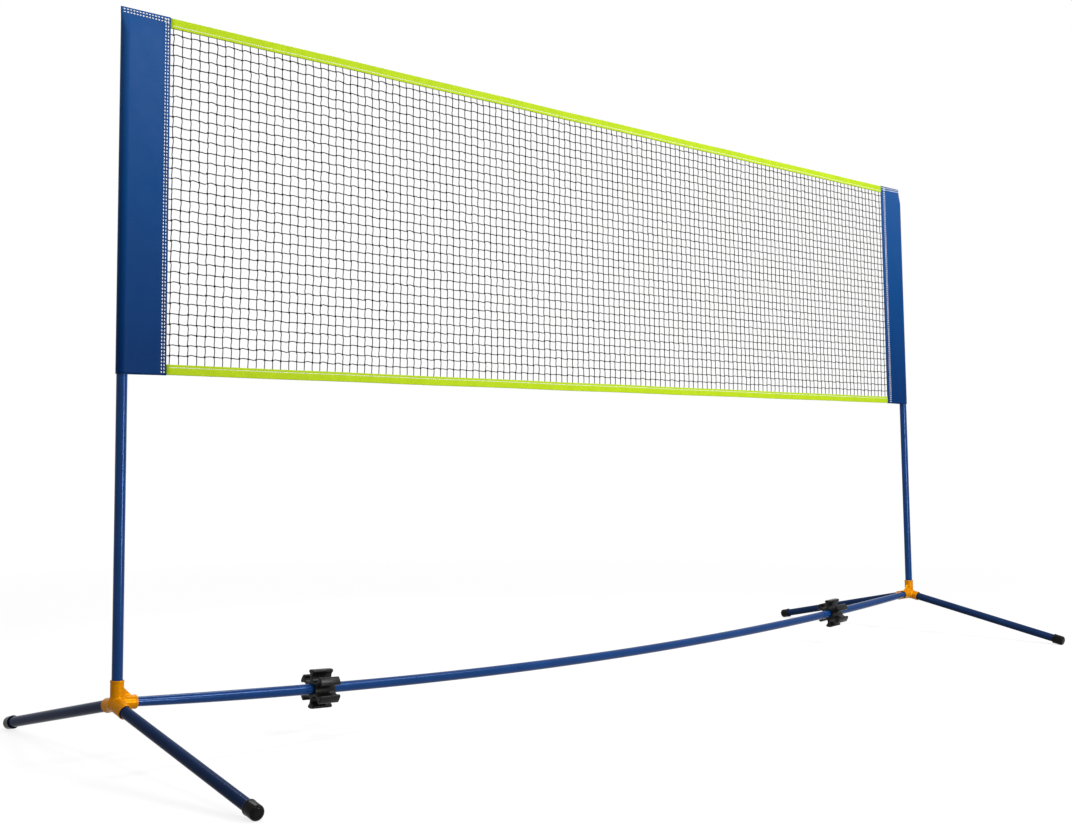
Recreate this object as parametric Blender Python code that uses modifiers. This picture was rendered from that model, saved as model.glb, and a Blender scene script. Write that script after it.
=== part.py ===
"""Folding badminton net: two leaning posts on a bowed crossbar, four slanting legs and a sleeved net."""
import math

import bmesh
import bpy
from mathutils import Matrix, Vector

# Driving dimensions in metres, angles in degrees. X runs along the net, Y across it, Z up.

# Stand
POST_SPACING = 3.010
LEG_REACH = 0.530
LEG_TILT = 12.1
LEG_OFFSET = 0.005
POST_LEAN = 0.75
POST_HEADROOM = 0.057
POST_JOINT_RISE = 0.070
BAR_SAG = 0.056
BAR_RISE = 0.0025
BAR_JOINT_OFFSET = 0.735

# Tubes and the pieces that plug into them
LEG_DIAMETER = 0.024
POST_DIAMETER = 0.0225
BAR_DIAMETER = 0.0235
BAR_END_DIAMETER = 0.0197
BAR_TAPER_LENGTH = 0.360
TUBE_WALL = 0.0012
SPIGOT_WALL = 0.0012
BAR_SPIGOT_LENGTH = 0.100
POST_SPIGOT_LENGTH = 0.120
PLUG_DEPTH = 0.018
PLUG_HEAD = 0.004
FIT = 0.0003

# Base connectors: one moulding used at both ends, so its long leg socket is at the front on the
# left and at the rear on the right. Reaches are measured from the junction of the sockets.
SOCKET_WALL = 0.0021
BAR_SOCKET_WALL = 0.0036
POST_SOCKET_REACH = 0.047
LONG_LEG_SOCKET_REACH = 0.047
SHORT_LEG_SOCKET_REACH = 0.031
BAR_SOCKET_REACH = 0.041
SOCKET_BOTTOM = 0.017
SOCKET_RIM = 0.0004
SOCKET_RIM_LENGTH = 0.004
WEB_THICKNESS = 0.006
WEB_REACH = 0.018

# Foot caps
CAP_WALL = 0.0022
CAP_LENGTH = 0.031
CAP_END_WALL = 0.008
CAP_EDGE_RADIUS = 0.007
CAP_FLAT_DEPTH = 0.0005

# Storage clips
CLIP_LENGTH = 0.054
CLIP_CLEARANCE = 0.0006
CLIP_HUB_WALL = 0.0065
CLIP_GRIP = 0.013
CLIP_EDGE_RADIUS = 0.004
CLIP_NOTCH_CLEARANCE = 0.00025
CLIP_NOTCHES = 6
CLIP_TURN = 30
LEFT_CLIP_X = -1.0065
RIGHT_CLIP_X = 1.031

# Net, bands and sleeves
NET_TOP = 1.550
NET_DEPTH = 0.760
SLEEVE_REACH = 0.100
SLEEVE_FABRIC = 0.0008
SLEEVE_EASE = 0.0011
SLEEVE_POCKET = 0.016
SLEEVE_SEAM = 0.012
SLEEVE_TOP_OVERHANG = 0.015
SLEEVE_FOLD_ANGLE = 13.0
BAND_HEIGHT = 0.022
BAND_THICKNESS = 0.003
BAND_DROP = 0.001
TWINE = 0.002
MESH_COLUMNS = 24
MESH_ROWS = 9

# Facets round a full turn, and points along the bowed tubes
ROUND_SIDES = 24
BAR_SIDES = 16
BAR_RUNS = 8
ARC_STEPS = 8
FILLET_STEPS = 4

BLUE_PAINT = ("blue_paint", (0.016, 0.052, 0.19, 1.0), 0.25, 0.2)
YELLOW_PLASTIC = ("yellow_plastic", (0.78, 0.33, 0.01, 1.0), 0.3, 0.0)
BLACK_PLASTIC = ("black_plastic", (0.012, 0.012, 0.013, 1.0), 0.35, 0.0)
BLACK_RUBBER = ("black_rubber", (0.01, 0.01, 0.01, 1.0), 0.5, 0.0)
BARE_STEEL = ("bare_steel", (0.55, 0.56, 0.58, 1.0), 0.35, 1.0)
BLACK_TWINE = ("black_twine", (0.015, 0.015, 0.017, 1.0), 0.8, 0.0)
LIME_TAPE = ("lime_tape", (0.52, 0.79, 0.01, 1.0), 0.7, 0.0)
BLUE_CLOTH = ("blue_cloth", (0.02, 0.08, 0.28, 1.0), 0.6, 0.0)

# Sizes that follow from the driving ones
lean = math.radians(POST_LEAN)
tilt = math.radians(LEG_TILT)
half_spacing = POST_SPACING / 2
leg_radius = LEG_DIAMETER / 2
post_radius = POST_DIAMETER / 2
bar_radius = BAR_DIAMETER / 2
bar_end_radius = BAR_END_DIAMETER / 2
cap_bore_radius = (leg_radius + FIT) / math.cos(math.pi / ROUND_SIDES)
cap_radius = cap_bore_radius + CAP_WALL
cap_edge = min(CAP_EDGE_RADIUS, CAP_END_WALL * 0.9, cap_radius * 0.9)
leg_length = LEG_REACH / math.cos(tilt)
foot_height = (cap_radius - cap_edge) * math.cos(tilt) + cap_edge * (1 - math.sin(tilt)) - CAP_FLAT_DEPTH
junction_height = foot_height + LEG_REACH * math.tan(tilt)
bar_end_height = junction_height + BAR_RISE
bar_bow_radius = (half_spacing ** 2 + BAR_SAG ** 2) / (2 * BAR_SAG)
bar_slope = math.asin(half_spacing / bar_bow_radius)
net_bottom = NET_TOP - NET_DEPTH
post_top = NET_TOP - POST_HEADROOM
post_joint_height = net_bottom + POST_JOINT_RISE


def clear_scene():
    """Removes whatever the scene holds, so that the script gives the same model each run."""
    for obj in list(bpy.data.objects):
        bpy.data.objects.remove(obj, do_unlink=True)


clear_scene()
parts = bpy.data.collections.new("badminton_net")
cutters = bpy.data.collections.new("cutters")
bpy.context.scene.collection.children.link(parts)
bpy.context.scene.collection.children.link(cutters)


def material(spec):
    """A Principled material made from a name, colour, roughness and metallic value."""
    name, colour, roughness, metallic = spec
    made = bpy.data.materials.new(name)
    made.use_nodes = True
    shader = made.node_tree.nodes["Principled BSDF"]
    shader.inputs["Base Color"].default_value = colour
    shader.inputs["Roughness"].default_value = roughness
    shader.inputs["Metallic"].default_value = metallic
    return made


def part(name, data, matrix, finish):
    """Puts a finished mesh into the model as a named sub-part."""
    obj = bpy.data.objects.new(name, data)
    obj.matrix_world = matrix
    obj.data.materials.append(material(finish))
    parts.objects.link(obj)
    return obj


def cutter(name, data, matrix):
    """A hidden solid that a Boolean adds or takes away."""
    obj = bpy.data.objects.new(name, data)
    obj.matrix_world = matrix
    obj.hide_render = True
    obj.display_type = "WIRE"
    cutters.objects.link(obj)
    return obj


def combine(obj, other, operation):
    """Adds another solid to obj, or takes it away, with the exact solver."""
    boolean = obj.modifiers.new(operation.lower(), "BOOLEAN")
    boolean.operation = operation
    boolean.solver = "EXACT"
    boolean.object = other


def evaluated_mesh(obj):
    """The object's mesh with its modifiers applied, and the object removed."""
    bpy.context.view_layer.update()
    depsgraph = bpy.context.evaluated_depsgraph_get()
    data = bpy.data.meshes.new_from_object(obj.evaluated_get(depsgraph))
    bpy.data.objects.remove(obj, do_unlink=True)
    return data


def cleaned(data, weld=0.00001):
    """Welds the mesh's loose caps and turns its faces outwards."""
    bm = bmesh.new()
    bm.from_mesh(data)
    bmesh.ops.remove_doubles(bm, verts=bm.verts, dist=weld)
    bmesh.ops.recalc_face_normals(bm, faces=bm.faces)
    bm.to_mesh(data)
    bm.free()
    return data


def shaded(data):
    """Smooth shading on round faces, with their real edges kept sharp."""
    data.shade_smooth()
    data.set_sharp_from_angle(angle=math.radians(35))
    return data


def turned_mesh(name, profile, closed, sides=ROUND_SIDES):
    """A profile of (radius, height) points, outer side first and downwards, turned round Z."""
    data = bpy.data.meshes.new(name)
    edges = [(i, i + 1) for i in range(len(profile) - 1)]
    if closed:
        edges.append((len(profile) - 1, 0))
    data.from_pydata([(radius, 0.0, height) for radius, height in profile], edges, [])
    obj = bpy.data.objects.new(name, data)
    cutters.objects.link(obj)
    screw = obj.modifiers.new("turn", "SCREW")
    screw.steps = sides
    screw.render_steps = sides
    screw.use_merge_vertices = True
    screw.merge_threshold = 0.00001
    return shaded(cleaned(evaluated_mesh(obj)))


def cylinder_mesh(name, radius, low, high):
    """A solid cylinder along Z between two heights."""
    return turned_mesh(name, [(0.0, high), (radius, high), (radius, low), (0.0, low)], closed=False)


def tube_mesh(name, outer, inner, low, high):
    """A straight tube along Z, open at both ends."""
    return turned_mesh(name, [(outer, high), (outer, low), (inner, low), (inner, high)], closed=True)


def prism_mesh(name, outlines, thickness):
    """Flat closed outlines, the first the edge and the rest holes, given a thickness along Z."""
    curve = bpy.data.curves.new(name, "CURVE")
    curve.dimensions = "2D"
    curve.fill_mode = "BOTH"
    curve.extrude = thickness / 2
    for outline in outlines:
        spline = curve.splines.new("POLY")
        spline.points.add(len(outline) - 1)
        for point, (x, y) in zip(spline.points, outline):
            point.co = (x, y, 0.0, 1.0)
        spline.use_cyclic_u = True
    obj = bpy.data.objects.new(name, curve)
    cutters.objects.link(obj)
    return shaded(cleaned(evaluated_mesh(obj)))


def pipe_mesh(name, points, radii, sides):
    """A solid rod through the points, with a radius at each of them."""
    curve = bpy.data.curves.new(name, "CURVE")
    curve.dimensions = "3D"
    curve.bevel_depth = 1.0
    curve.bevel_resolution = (sides - 4) // 2
    curve.use_fill_caps = True
    spline = curve.splines.new("POLY")
    spline.points.add(len(points) - 1)
    for point, place, radius in zip(spline.points, points, radii):
        point.co = (*place, 1.0)
        point.radius = radius
    obj = bpy.data.objects.new(name, curve)
    cutters.objects.link(obj)
    return shaded(cleaned(evaluated_mesh(obj)))


def arc(centre, radius, start, end, steps):
    """Points on a circle from one angle to another, in degrees."""
    points = []
    for i in range(steps + 1):
        angle = math.radians(start + (end - start) * i / steps)
        points.append((centre[0] + radius * math.cos(angle), centre[1] + radius * math.sin(angle)))
    return points


def inscribed(radius, sides):
    """Distance from the axis to the flats of a faceted round."""
    return radius * math.cos(math.pi / sides)


def circumscribed(radius, sides):
    """Corner distance of a faceted bore whose flats clear the radius."""
    return radius / math.cos(math.pi / sides)


def frame_at(origin, direction):
    """Places local Z along a direction, with local Y kept as near world Y as it can be."""
    z = Vector(direction).normalized()
    x = Vector((0.0, 1.0, 0.0)).cross(z)
    if x.length < 0.5:
        x = Vector((1.0, 0.0, 0.0))
    x.normalize()
    y = z.cross(x)
    turn = Matrix((x, y, z)).transposed().to_4x4()
    return Matrix.Translation(Vector(origin)) @ turn


def post_axis(side):
    """Unit vector up a post, which leans towards the middle of the net."""
    return Vector((-side * math.sin(lean), 0.0, math.cos(lean)))


def post_x(side, height):
    """Where a post's axis is along the net at a height."""
    return side * (half_spacing - (height - junction_height) * math.tan(lean))


def post_frame(side):
    """Frame of a post, from the junction upwards."""
    return frame_at((side * half_spacing, 0.0, junction_height), post_axis(side))


def leg_frame(side, end):
    """Frame of a leg, from the junction down to the foot; end is -1 at the front, 1 at the rear."""
    origin = (side * (half_spacing + LEG_OFFSET), 0.0, junction_height)
    return frame_at(origin, (0.0, end * math.cos(tilt), -math.sin(tilt)))


def bar_point(x):
    """Point of the crossbar's bowed axis at a place along the net."""
    drop = bar_bow_radius - math.sqrt(bar_bow_radius ** 2 - x ** 2)
    return Vector((x, 0.0, bar_end_height - BAR_SAG + drop))


def bar_direction(x):
    """Unit vector along the crossbar's axis, towards +X."""
    slope = math.asin(x / bar_bow_radius)
    return Vector((math.cos(slope), 0.0, math.sin(slope)))


def bar_radius_at(x):
    """The crossbar thins smoothly over its last stretch before each socket."""
    from_socket = half_spacing - BAR_SOCKET_REACH - abs(x)
    left = max(0.0, min(1.0, 1.0 - from_socket / BAR_TAPER_LENGTH))
    return bar_radius - (bar_radius - bar_end_radius) * left ** 2


def along_post(height):
    """Distance from the junction, along a leaning post, of a height above the floor."""
    return (height - junction_height) / math.cos(lean)


def leg_socket_reach(side, end):
    """The long leg socket is at the front on the left stand and at the rear on the right one."""
    return LONG_LEG_SOCKET_REACH if side == end else SHORT_LEG_SOCKET_REACH


def socket_mesh(radius, reach, start):
    """Solid socket along Z, from near the junction, with a slight rim round its mouth."""
    rim = radius + SOCKET_RIM
    rim_start = reach - SOCKET_RIM_LENGTH
    profile = [(0.0, reach), (rim, reach), (rim, rim_start), (radius, rim_start - SOCKET_RIM)]
    profile += [(radius, start), (0.0, start)]
    return turned_mesh("socket", profile, closed=False)


def build_connector(side):
    """Four-way moulding: post, front leg, rear leg and crossbar sockets, and a gusset web."""
    name = ("left" if side < 0 else "right") + "_base_connector"
    post_bore = circumscribed(post_radius + FIT, ROUND_SIDES)
    leg_bore = circumscribed(leg_radius + FIT, ROUND_SIDES)
    bar_bore = circumscribed(bar_end_radius + FIT, ROUND_SIDES)
    bar_frame = frame_at(bar_point(side * half_spacing), bar_direction(side * half_spacing) * -side)
    front_reach = leg_socket_reach(side, -1)
    rear_reach = leg_socket_reach(side, 1)

    # The leg sockets run past the junction into each other, so that they close the bend.
    crossing = -leg_bore * math.sin(tilt)
    post_socket = socket_mesh(post_bore + SOCKET_WALL, POST_SOCKET_REACH, 0.0)
    front_socket = socket_mesh(leg_bore + SOCKET_WALL, front_reach, crossing)
    rear_socket = socket_mesh(leg_bore + SOCKET_WALL, rear_reach, crossing)
    bar_socket = socket_mesh(bar_bore + BAR_SOCKET_WALL, BAR_SOCKET_REACH, 0.0)
    body = part(name, post_socket, post_frame(side), YELLOW_PLASTIC)
    combine(body, cutter(name + "_front", front_socket, leg_frame(side, -1)), "UNION")
    combine(body, cutter(name + "_rear", rear_socket, leg_frame(side, 1)), "UNION")
    combine(body, cutter(name + "_bar", bar_socket, bar_frame), "UNION")

    post_wall = post_bore + SOCKET_WALL / 2
    bar_wall = bar_bore + BAR_SOCKET_WALL / 2
    web = [
        (post_wall / 2, bar_wall / 2),
        (post_wall + WEB_REACH, bar_wall / 2),
        (post_wall + WEB_REACH, bar_wall),
        (post_wall, bar_wall + WEB_REACH),
        (post_wall / 2, bar_wall + WEB_REACH),
    ]
    web_mesh = prism_mesh("web", [[(-side * inward, up) for inward, up in web]], WEB_THICKNESS)
    upright = Matrix.Rotation(math.radians(90), 4, "X")
    web_place = Matrix.Translation((side * half_spacing, 0.0, junction_height)) @ upright
    combine(body, cutter(name + "_web", web_mesh, web_place), "UNION")

    bores = [
        (post_bore, POST_SOCKET_REACH, post_frame(side)),
        (leg_bore, front_reach, leg_frame(side, -1)),
        (leg_bore, rear_reach, leg_frame(side, 1)),
        (bar_bore, BAR_SOCKET_REACH, bar_frame),
    ]
    bm = bmesh.new()
    for radius, reach, place in bores:
        bore = cylinder_mesh("bore", radius, SOCKET_BOTTOM, reach + SOCKET_WALL)
        bore.transform(place)
        bm.from_mesh(bore)
    hollows = bpy.data.meshes.new("bores")
    bm.to_mesh(hollows)
    bm.free()
    combine(body, cutter(name + "_bores", hollows, Matrix.Identity(4)), "DIFFERENCE")


def build_leg(side, end):
    """Leg tube from the socket's bottom to the cap's end wall, and the rubber cap on it."""
    label = ("left" if side < 0 else "right") + ("_front" if end < 0 else "_rear")
    place = leg_frame(side, end)
    tube_end = leg_length - CAP_END_WALL - FIT
    tube = tube_mesh(label + "_leg", leg_radius, leg_radius - TUBE_WALL, SOCKET_BOTTOM + FIT, tube_end)
    part(label + "_leg", tube, place, BLUE_PAINT)

    mouth = leg_length - CAP_LENGTH
    bore_end = leg_length - CAP_END_WALL
    rounding = arc((cap_radius - cap_edge, leg_length - cap_edge), cap_edge, 90, 0, FILLET_STEPS + 1)
    profile = [(0.0, leg_length)] + rounding
    profile += [(cap_radius, mouth), (cap_bore_radius, mouth), (cap_bore_radius, bore_end), (0.0, bore_end)]
    cap = part(label + "_foot_cap", turned_mesh("cap", profile, closed=False), place, BLACK_RUBBER)

    bm = bmesh.new()
    bmesh.ops.create_cube(bm, size=CAP_LENGTH * 2)
    floor = bpy.data.meshes.new("floor")
    bm.to_mesh(floor)
    bm.free()
    foot = place @ Vector((0.0, 0.0, leg_length))
    floor_place = Matrix.Translation((foot.x, foot.y, -CAP_LENGTH))
    combine(cap, cutter(label + "_floor", floor, floor_place), "DIFFERENCE")


def build_post(side):
    """Lower and upper post tube, joined by a spigot inside the sleeve, and the plug in the top end."""
    label = "left" if side < 0 else "right"
    place = post_frame(side)
    joint = along_post(post_joint_height)
    top = along_post(post_top) - PLUG_HEAD
    bore = post_radius - TUBE_WALL
    lower = tube_mesh(label + "_lower_post", post_radius, bore, SOCKET_BOTTOM + FIT, joint - FIT / 2)
    part(label + "_lower_post", lower, place, BLUE_PAINT)
    upper = tube_mesh(label + "_upper_post", post_radius, bore, joint + FIT / 2, top - FIT)
    part(label + "_upper_post", upper, place, BLUE_PAINT)

    spigot_radius = inscribed(bore, ROUND_SIDES) - FIT
    low = joint - POST_SPIGOT_LENGTH / 2
    high = joint + POST_SPIGOT_LENGTH / 2
    spigot = tube_mesh(label + "_post_spigot", spigot_radius, spigot_radius - SPIGOT_WALL, low, high)
    part(label + "_post_spigot", spigot, place, BARE_STEEL)

    crown = arc((post_radius - PLUG_HEAD, top), PLUG_HEAD, 90, 0, FILLET_STEPS)
    profile = [(0.0, top + PLUG_HEAD)] + crown
    profile += [(spigot_radius, top), (spigot_radius, top - PLUG_DEPTH), (0.0, top - PLUG_DEPTH)]
    plug = turned_mesh(label + "_post_top_plug", profile, closed=False)
    part(label + "_post_top_plug", plug, place, BLACK_PLASTIC)


def build_bar_section(name, start, end):
    """One bowed crossbar tube between two places along the net, bored from end to end."""
    places = [start + (end - start) * i / BAR_RUNS for i in range(BAR_RUNS + 1)]
    points = [bar_point(x) for x in places]
    outer = pipe_mesh(name, points, [bar_radius_at(x) for x in places], BAR_SIDES)
    overshoot = TUBE_WALL * 2
    core_points = list(points)
    core_points[0] = points[0] - bar_direction(start) * overshoot
    core_points[-1] = points[-1] + bar_direction(end) * overshoot
    core = pipe_mesh(name + "_core", core_points, [bar_radius_at(x) - TUBE_WALL for x in places], BAR_SIDES)
    tube = part(name, outer, Matrix.Identity(4), BLUE_PAINT)
    combine(tube, cutter(name + "_core", core, Matrix.Identity(4)), "DIFFERENCE")


def build_crossbar():
    """Four plug-together sections and the three spigots inside their joints."""
    socket_x = half_spacing - (SOCKET_BOTTOM + FIT) * math.cos(bar_slope)
    gap = FIT / 2
    stops = [-socket_x, -BAR_JOINT_OFFSET, 0.0, BAR_JOINT_OFFSET, socket_x]
    names = ["left_outer", "left_inner", "right_inner", "right_outer"]
    for name, start, end in zip(names, stops, stops[1:]):
        low = start if start == stops[0] else start + gap
        high = end if end == stops[-1] else end - gap
        build_bar_section(name + "_crossbar_tube", low, high)
    spigot_radius = inscribed(bar_radius - TUBE_WALL, BAR_SIDES) - FIT
    half = BAR_SPIGOT_LENGTH / 2
    for name, x in zip(("left", "middle", "right"), stops[1:-1]):
        spigot = tube_mesh("spigot", spigot_radius, spigot_radius - SPIGOT_WALL, -half, half)
        part(name + "_crossbar_spigot", spigot, frame_at(bar_point(x), bar_direction(x)), BARE_STEEL)


def clip_outline(bore_radius):
    """One turn of notch arcs, rounded arm corners and arm tips."""
    notch_radius = post_radius + CLIP_NOTCH_CLEARANCE
    notch_centre = bore_radius + CLIP_HUB_WALL + notch_radius
    tip_radius = notch_centre + CLIP_GRIP
    fillet = CLIP_EDGE_RADIUS
    # The corner's centre is a fillet outside the notch and a fillet inside the arm's tip.
    far = tip_radius - fillet
    near = notch_radius + fillet
    corner_x = (notch_centre ** 2 + far ** 2 - near ** 2) / (2 * notch_centre)
    corner_y = math.sqrt(far ** 2 - corner_x ** 2)
    corner_angle = math.degrees(math.atan2(corner_y, corner_x))
    notch_angle = math.degrees(math.atan2(corner_y, corner_x - notch_centre))
    pitch = 360 / CLIP_NOTCHES
    outline = []
    for i in range(CLIP_NOTCHES):
        turn = CLIP_TURN + pitch * i
        spin = Matrix.Rotation(math.radians(turn), 2)
        points = arc((notch_centre, 0.0), notch_radius, 360 - notch_angle, notch_angle, ARC_STEPS)
        points += arc((corner_x, corner_y), fillet, notch_angle - 180, corner_angle, FILLET_STEPS)[1:]
        points += arc((0.0, 0.0), tip_radius, corner_angle, pitch - corner_angle, 2)[1:]
        mirrored = arc((corner_x, -corner_y), fillet, -corner_angle, 180 - notch_angle, FILLET_STEPS)
        spin_on = Matrix.Rotation(math.radians(pitch), 2)
        points += [tuple(spin_on @ Vector(point)) for point in mirrored[1:-1]]
        outline += [tuple(spin @ Vector(point)) for point in points]
    return outline


def build_clip(name, x):
    """Star-shaped storage clip on the crossbar, with open notches for the folded tubes."""
    bore_radius = circumscribed(bar_radius_at(x) + CLIP_CLEARANCE, ROUND_SIDES)
    bore = arc((0.0, 0.0), bore_radius, 0, 360, ROUND_SIDES)[:-1]
    mesh = prism_mesh(name, [clip_outline(bore_radius), bore], CLIP_LENGTH)
    part(name, mesh, frame_at(bar_point(x), bar_direction(x)), BLACK_PLASTIC)


def build_mesh():
    """Knotted net as a square grid of twine, its ends along the sleeves' leaning edges."""
    low = net_bottom + BAND_DROP + BAND_HEIGHT + FIT
    high = NET_TOP - BAND_DROP - BAND_HEIGHT - FIT
    bm = bmesh.new()
    bmesh.ops.create_grid(bm, x_segments=MESH_COLUMNS, y_segments=MESH_ROWS, size=1.0)
    half_twine = TWINE / 2
    for vert in bm.verts:
        height = low + half_twine + (high - low - TWINE) * (vert.co.y + 1) / 2
        reach = post_x(1, height) - SLEEVE_REACH - FIT - half_twine
        vert.co = (vert.co.x * reach, 0.0, height)
    bmesh.ops.recalc_face_normals(bm, faces=bm.faces)
    data = bpy.data.meshes.new("net_mesh")
    bm.to_mesh(data)
    bm.free()
    net = part("net_mesh", data, Matrix.Identity(4), BLACK_TWINE)
    wire = net.modifiers.new("twine", "WIREFRAME")
    wire.thickness = TWINE
    wire.use_even_offset = True
    wire.use_relative_offset = False
    wire.use_boundary = True
    wire.use_replace = True


def build_band(name, low, high):
    """Lime tape along one long edge of the net, between the sleeves' leaning edges."""
    outline = []
    for height, side in ((low, -1), (low, 1), (high, 1), (high, -1)):
        outline.append((post_x(side, height) - side * (SLEEVE_REACH + FIT), height))
    band = prism_mesh(name, [outline], BAND_THICKNESS)
    part(name, band, Matrix.Rotation(math.radians(90), 4, "X"), LIME_TAPE)


def loft_mesh(name, rings):
    """A solid through closed rings of equal point counts, capped at the first and the last."""
    bm = bmesh.new()
    loops = [[bm.verts.new(point) for point in ring] for ring in rings]
    for lower, upper in zip(loops, loops[1:]):
        for i, corner in enumerate(lower):
            follower = (i + 1) % len(lower)
            bm.faces.new((corner, lower[follower], upper[follower], upper[i]))
    bm.faces.new(loops[0])
    bm.faces.new(loops[-1])
    bmesh.ops.recalc_face_normals(bm, faces=bm.faces)
    bmesh.ops.triangulate(bm, faces=bm.faces)
    data = bpy.data.meshes.new(name)
    bm.to_mesh(data)
    bm.free()
    return data


def sleeve_ring(side, outline, height, half_depth, overhang):
    """The sleeve's outline at a height: pinched to a half depth and spread outside the post."""
    radius = -min(inward for inward, across in outline)
    ring = []
    for inward, across in outline:
        if inward < 0.0:
            inward *= overhang / radius
        pinched = max(-half_depth, min(half_depth, across))
        ring.append((post_x(side, height) - side * inward, pinched, height))
    return ring


def build_sleeve(side):
    """Cloth sleeve pulled over a post: round at the post, drawn in to a seam at the net."""
    name = ("left" if side < 0 else "right") + "_sleeve"
    steps = ROUND_SIDES // 2
    pocket_radius = circumscribed(post_radius + SLEEVE_EASE, ROUND_SIDES)
    cloth_radius = pocket_radius + SLEEVE_FABRIC
    seam_start = SLEEVE_REACH - SLEEVE_SEAM
    pocket_end = seam_start - SLEEVE_SEAM / 2

    # Above the fold the pocket narrows to the top seam and rests on the rounded plug's edge.
    angle = math.radians(SLEEVE_FOLD_ANGLE)
    crown_gap = pocket_radius - (post_radius - PLUG_HEAD)
    fold = post_top - PLUG_HEAD + (PLUG_HEAD + FIT - crown_gap * math.cos(angle)) / math.sin(angle)
    pocket_top = fold + (pocket_radius - SLEEVE_FABRIC) / math.tan(angle)

    outside = arc((0.0, 0.0), cloth_radius, 90, 270, steps)
    outside += [(SLEEVE_POCKET, -cloth_radius), (seam_start, -SLEEVE_FABRIC), (SLEEVE_REACH, -SLEEVE_FABRIC)]
    outside += [(SLEEVE_REACH, SLEEVE_FABRIC), (seam_start, SLEEVE_FABRIC), (SLEEVE_POCKET, cloth_radius)]
    inside = arc((0.0, 0.0), pocket_radius, 90, 270, steps)
    inside += [(SLEEVE_POCKET, -pocket_radius), (pocket_end, -FIT), (pocket_end, FIT)]
    inside += [(SLEEVE_POCKET, pocket_radius)]

    cloth = loft_mesh(name, [
        sleeve_ring(side, outside, net_bottom, cloth_radius, cloth_radius),
        sleeve_ring(side, outside, fold, cloth_radius, cloth_radius),
        sleeve_ring(side, outside, NET_TOP, SLEEVE_FABRIC, SLEEVE_TOP_OVERHANG),
    ])
    pocket = loft_mesh(name, [
        sleeve_ring(side, inside, net_bottom - SLEEVE_SEAM, pocket_radius, pocket_radius),
        sleeve_ring(side, inside, fold, pocket_radius, pocket_radius),
        sleeve_ring(side, inside, pocket_top, SLEEVE_FABRIC, pocket_radius),
    ])
    sleeve = part(name, shaded(cloth), Matrix.Identity(4), BLUE_CLOTH)
    combine(sleeve, cutter(name + "_pocket", pocket, Matrix.Identity(4)), "DIFFERENCE")


for side in (-1, 1):
    build_connector(side)
    build_post(side)
    build_sleeve(side)
    for end in (-1, 1):
        build_leg(side, end)
build_crossbar()
build_clip("left_storage_clip", LEFT_CLIP_X)
build_clip("right_storage_clip", RIGHT_CLIP_X)
build_mesh()
build_band("top_band", NET_TOP - BAND_DROP - BAND_HEIGHT, NET_TOP - BAND_DROP)
build_band("bottom_band", net_bottom + BAND_DROP, net_bottom + BAND_DROP + BAND_HEIGHT)
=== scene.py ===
"""Looks of the folding badminton net: mesh, sleeves, tape, mouldings, light and camera."""

import math

import bmesh
import bpy
import numpy as np
from mathutils import Matrix, Vector


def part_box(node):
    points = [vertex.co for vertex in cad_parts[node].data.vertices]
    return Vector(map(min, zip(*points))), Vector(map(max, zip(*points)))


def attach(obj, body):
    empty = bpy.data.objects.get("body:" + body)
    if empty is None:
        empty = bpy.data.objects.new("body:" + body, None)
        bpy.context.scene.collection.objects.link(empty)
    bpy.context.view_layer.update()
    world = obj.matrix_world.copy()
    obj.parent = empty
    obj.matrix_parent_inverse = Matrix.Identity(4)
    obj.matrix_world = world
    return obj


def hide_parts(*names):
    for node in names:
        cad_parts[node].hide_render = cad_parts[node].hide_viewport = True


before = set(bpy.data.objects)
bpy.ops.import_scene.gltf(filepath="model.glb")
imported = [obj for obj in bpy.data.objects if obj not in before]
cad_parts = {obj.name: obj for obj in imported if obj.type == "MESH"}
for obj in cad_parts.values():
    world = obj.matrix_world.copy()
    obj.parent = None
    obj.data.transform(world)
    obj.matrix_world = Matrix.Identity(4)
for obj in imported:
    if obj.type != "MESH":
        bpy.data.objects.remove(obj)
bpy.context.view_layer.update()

# Sizes repeated from the CAD source, in metres and radians
POST_SPACING = 3.010
LEG_REACH = 0.530
LEG_TILT = math.radians(12.1)
LEG_OFFSET = 0.005
POST_LEAN = math.radians(0.75)
POST_TOP = 1.493
BAR_SAG = 0.056
BAR_RISE = 0.0025
BAR_RADIUS = 0.01175
BAR_END_RADIUS = 0.00985
BAR_TAPER_LENGTH = 0.360
BAR_JOINT_OFFSET = 0.735
LEG_RADIUS = 0.0120
POST_RADIUS = 0.01125
POST_JOINT_RISE = 0.070
TUBE_WALL = 0.0012
BAR_SPIGOT_LENGTH = 0.100
POST_SPIGOT_LENGTH = 0.120
PLUG_DEPTH = 0.018
PLUG_HEAD = 0.004
FIT = 0.0003
CAD_SIDES = 24
CAD_BAR_SIDES = 16
SOCKET_WALL = 0.0021
BAR_SOCKET_WALL = 0.0036
POST_SOCKET_REACH = 0.047
LONG_LEG_SOCKET_REACH = 0.047
SHORT_LEG_SOCKET_REACH = 0.031
BAR_SOCKET_REACH = 0.041
SOCKET_BOTTOM = 0.017
WEB_THICKNESS = 0.006
WEB_REACH = 0.018
CAP_WALL = 0.0022
CAP_LENGTH = 0.031
CAP_END_WALL = 0.008
CAP_EDGE_RADIUS = 0.007
CAP_FLAT_DEPTH = 0.0005
CLIP_LENGTH = 0.054
CLIP_CLEARANCE = 0.0006
CLIP_HUB_WALL = 0.0065
CLIP_GRIP = 0.013
CLIP_CORNER_RADIUS = 0.004
CLIP_NOTCH_CLEARANCE = 0.00025
CLIP_NOTCHES = 6
CLIP_TURN = math.radians(30)
CLIP_PLACES = {"left": -1.0065, "right": 1.031}
NET_TOP = 1.550
NET_BOTTOM = 0.790
SLEEVE_REACH = 0.100
SLEEVE_EASE = 0.0011
SLEEVE_CLOTH = 0.0008
SLEEVE_TOP_OVERHANG = 0.015
BAND_HEIGHT = 0.022
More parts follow.
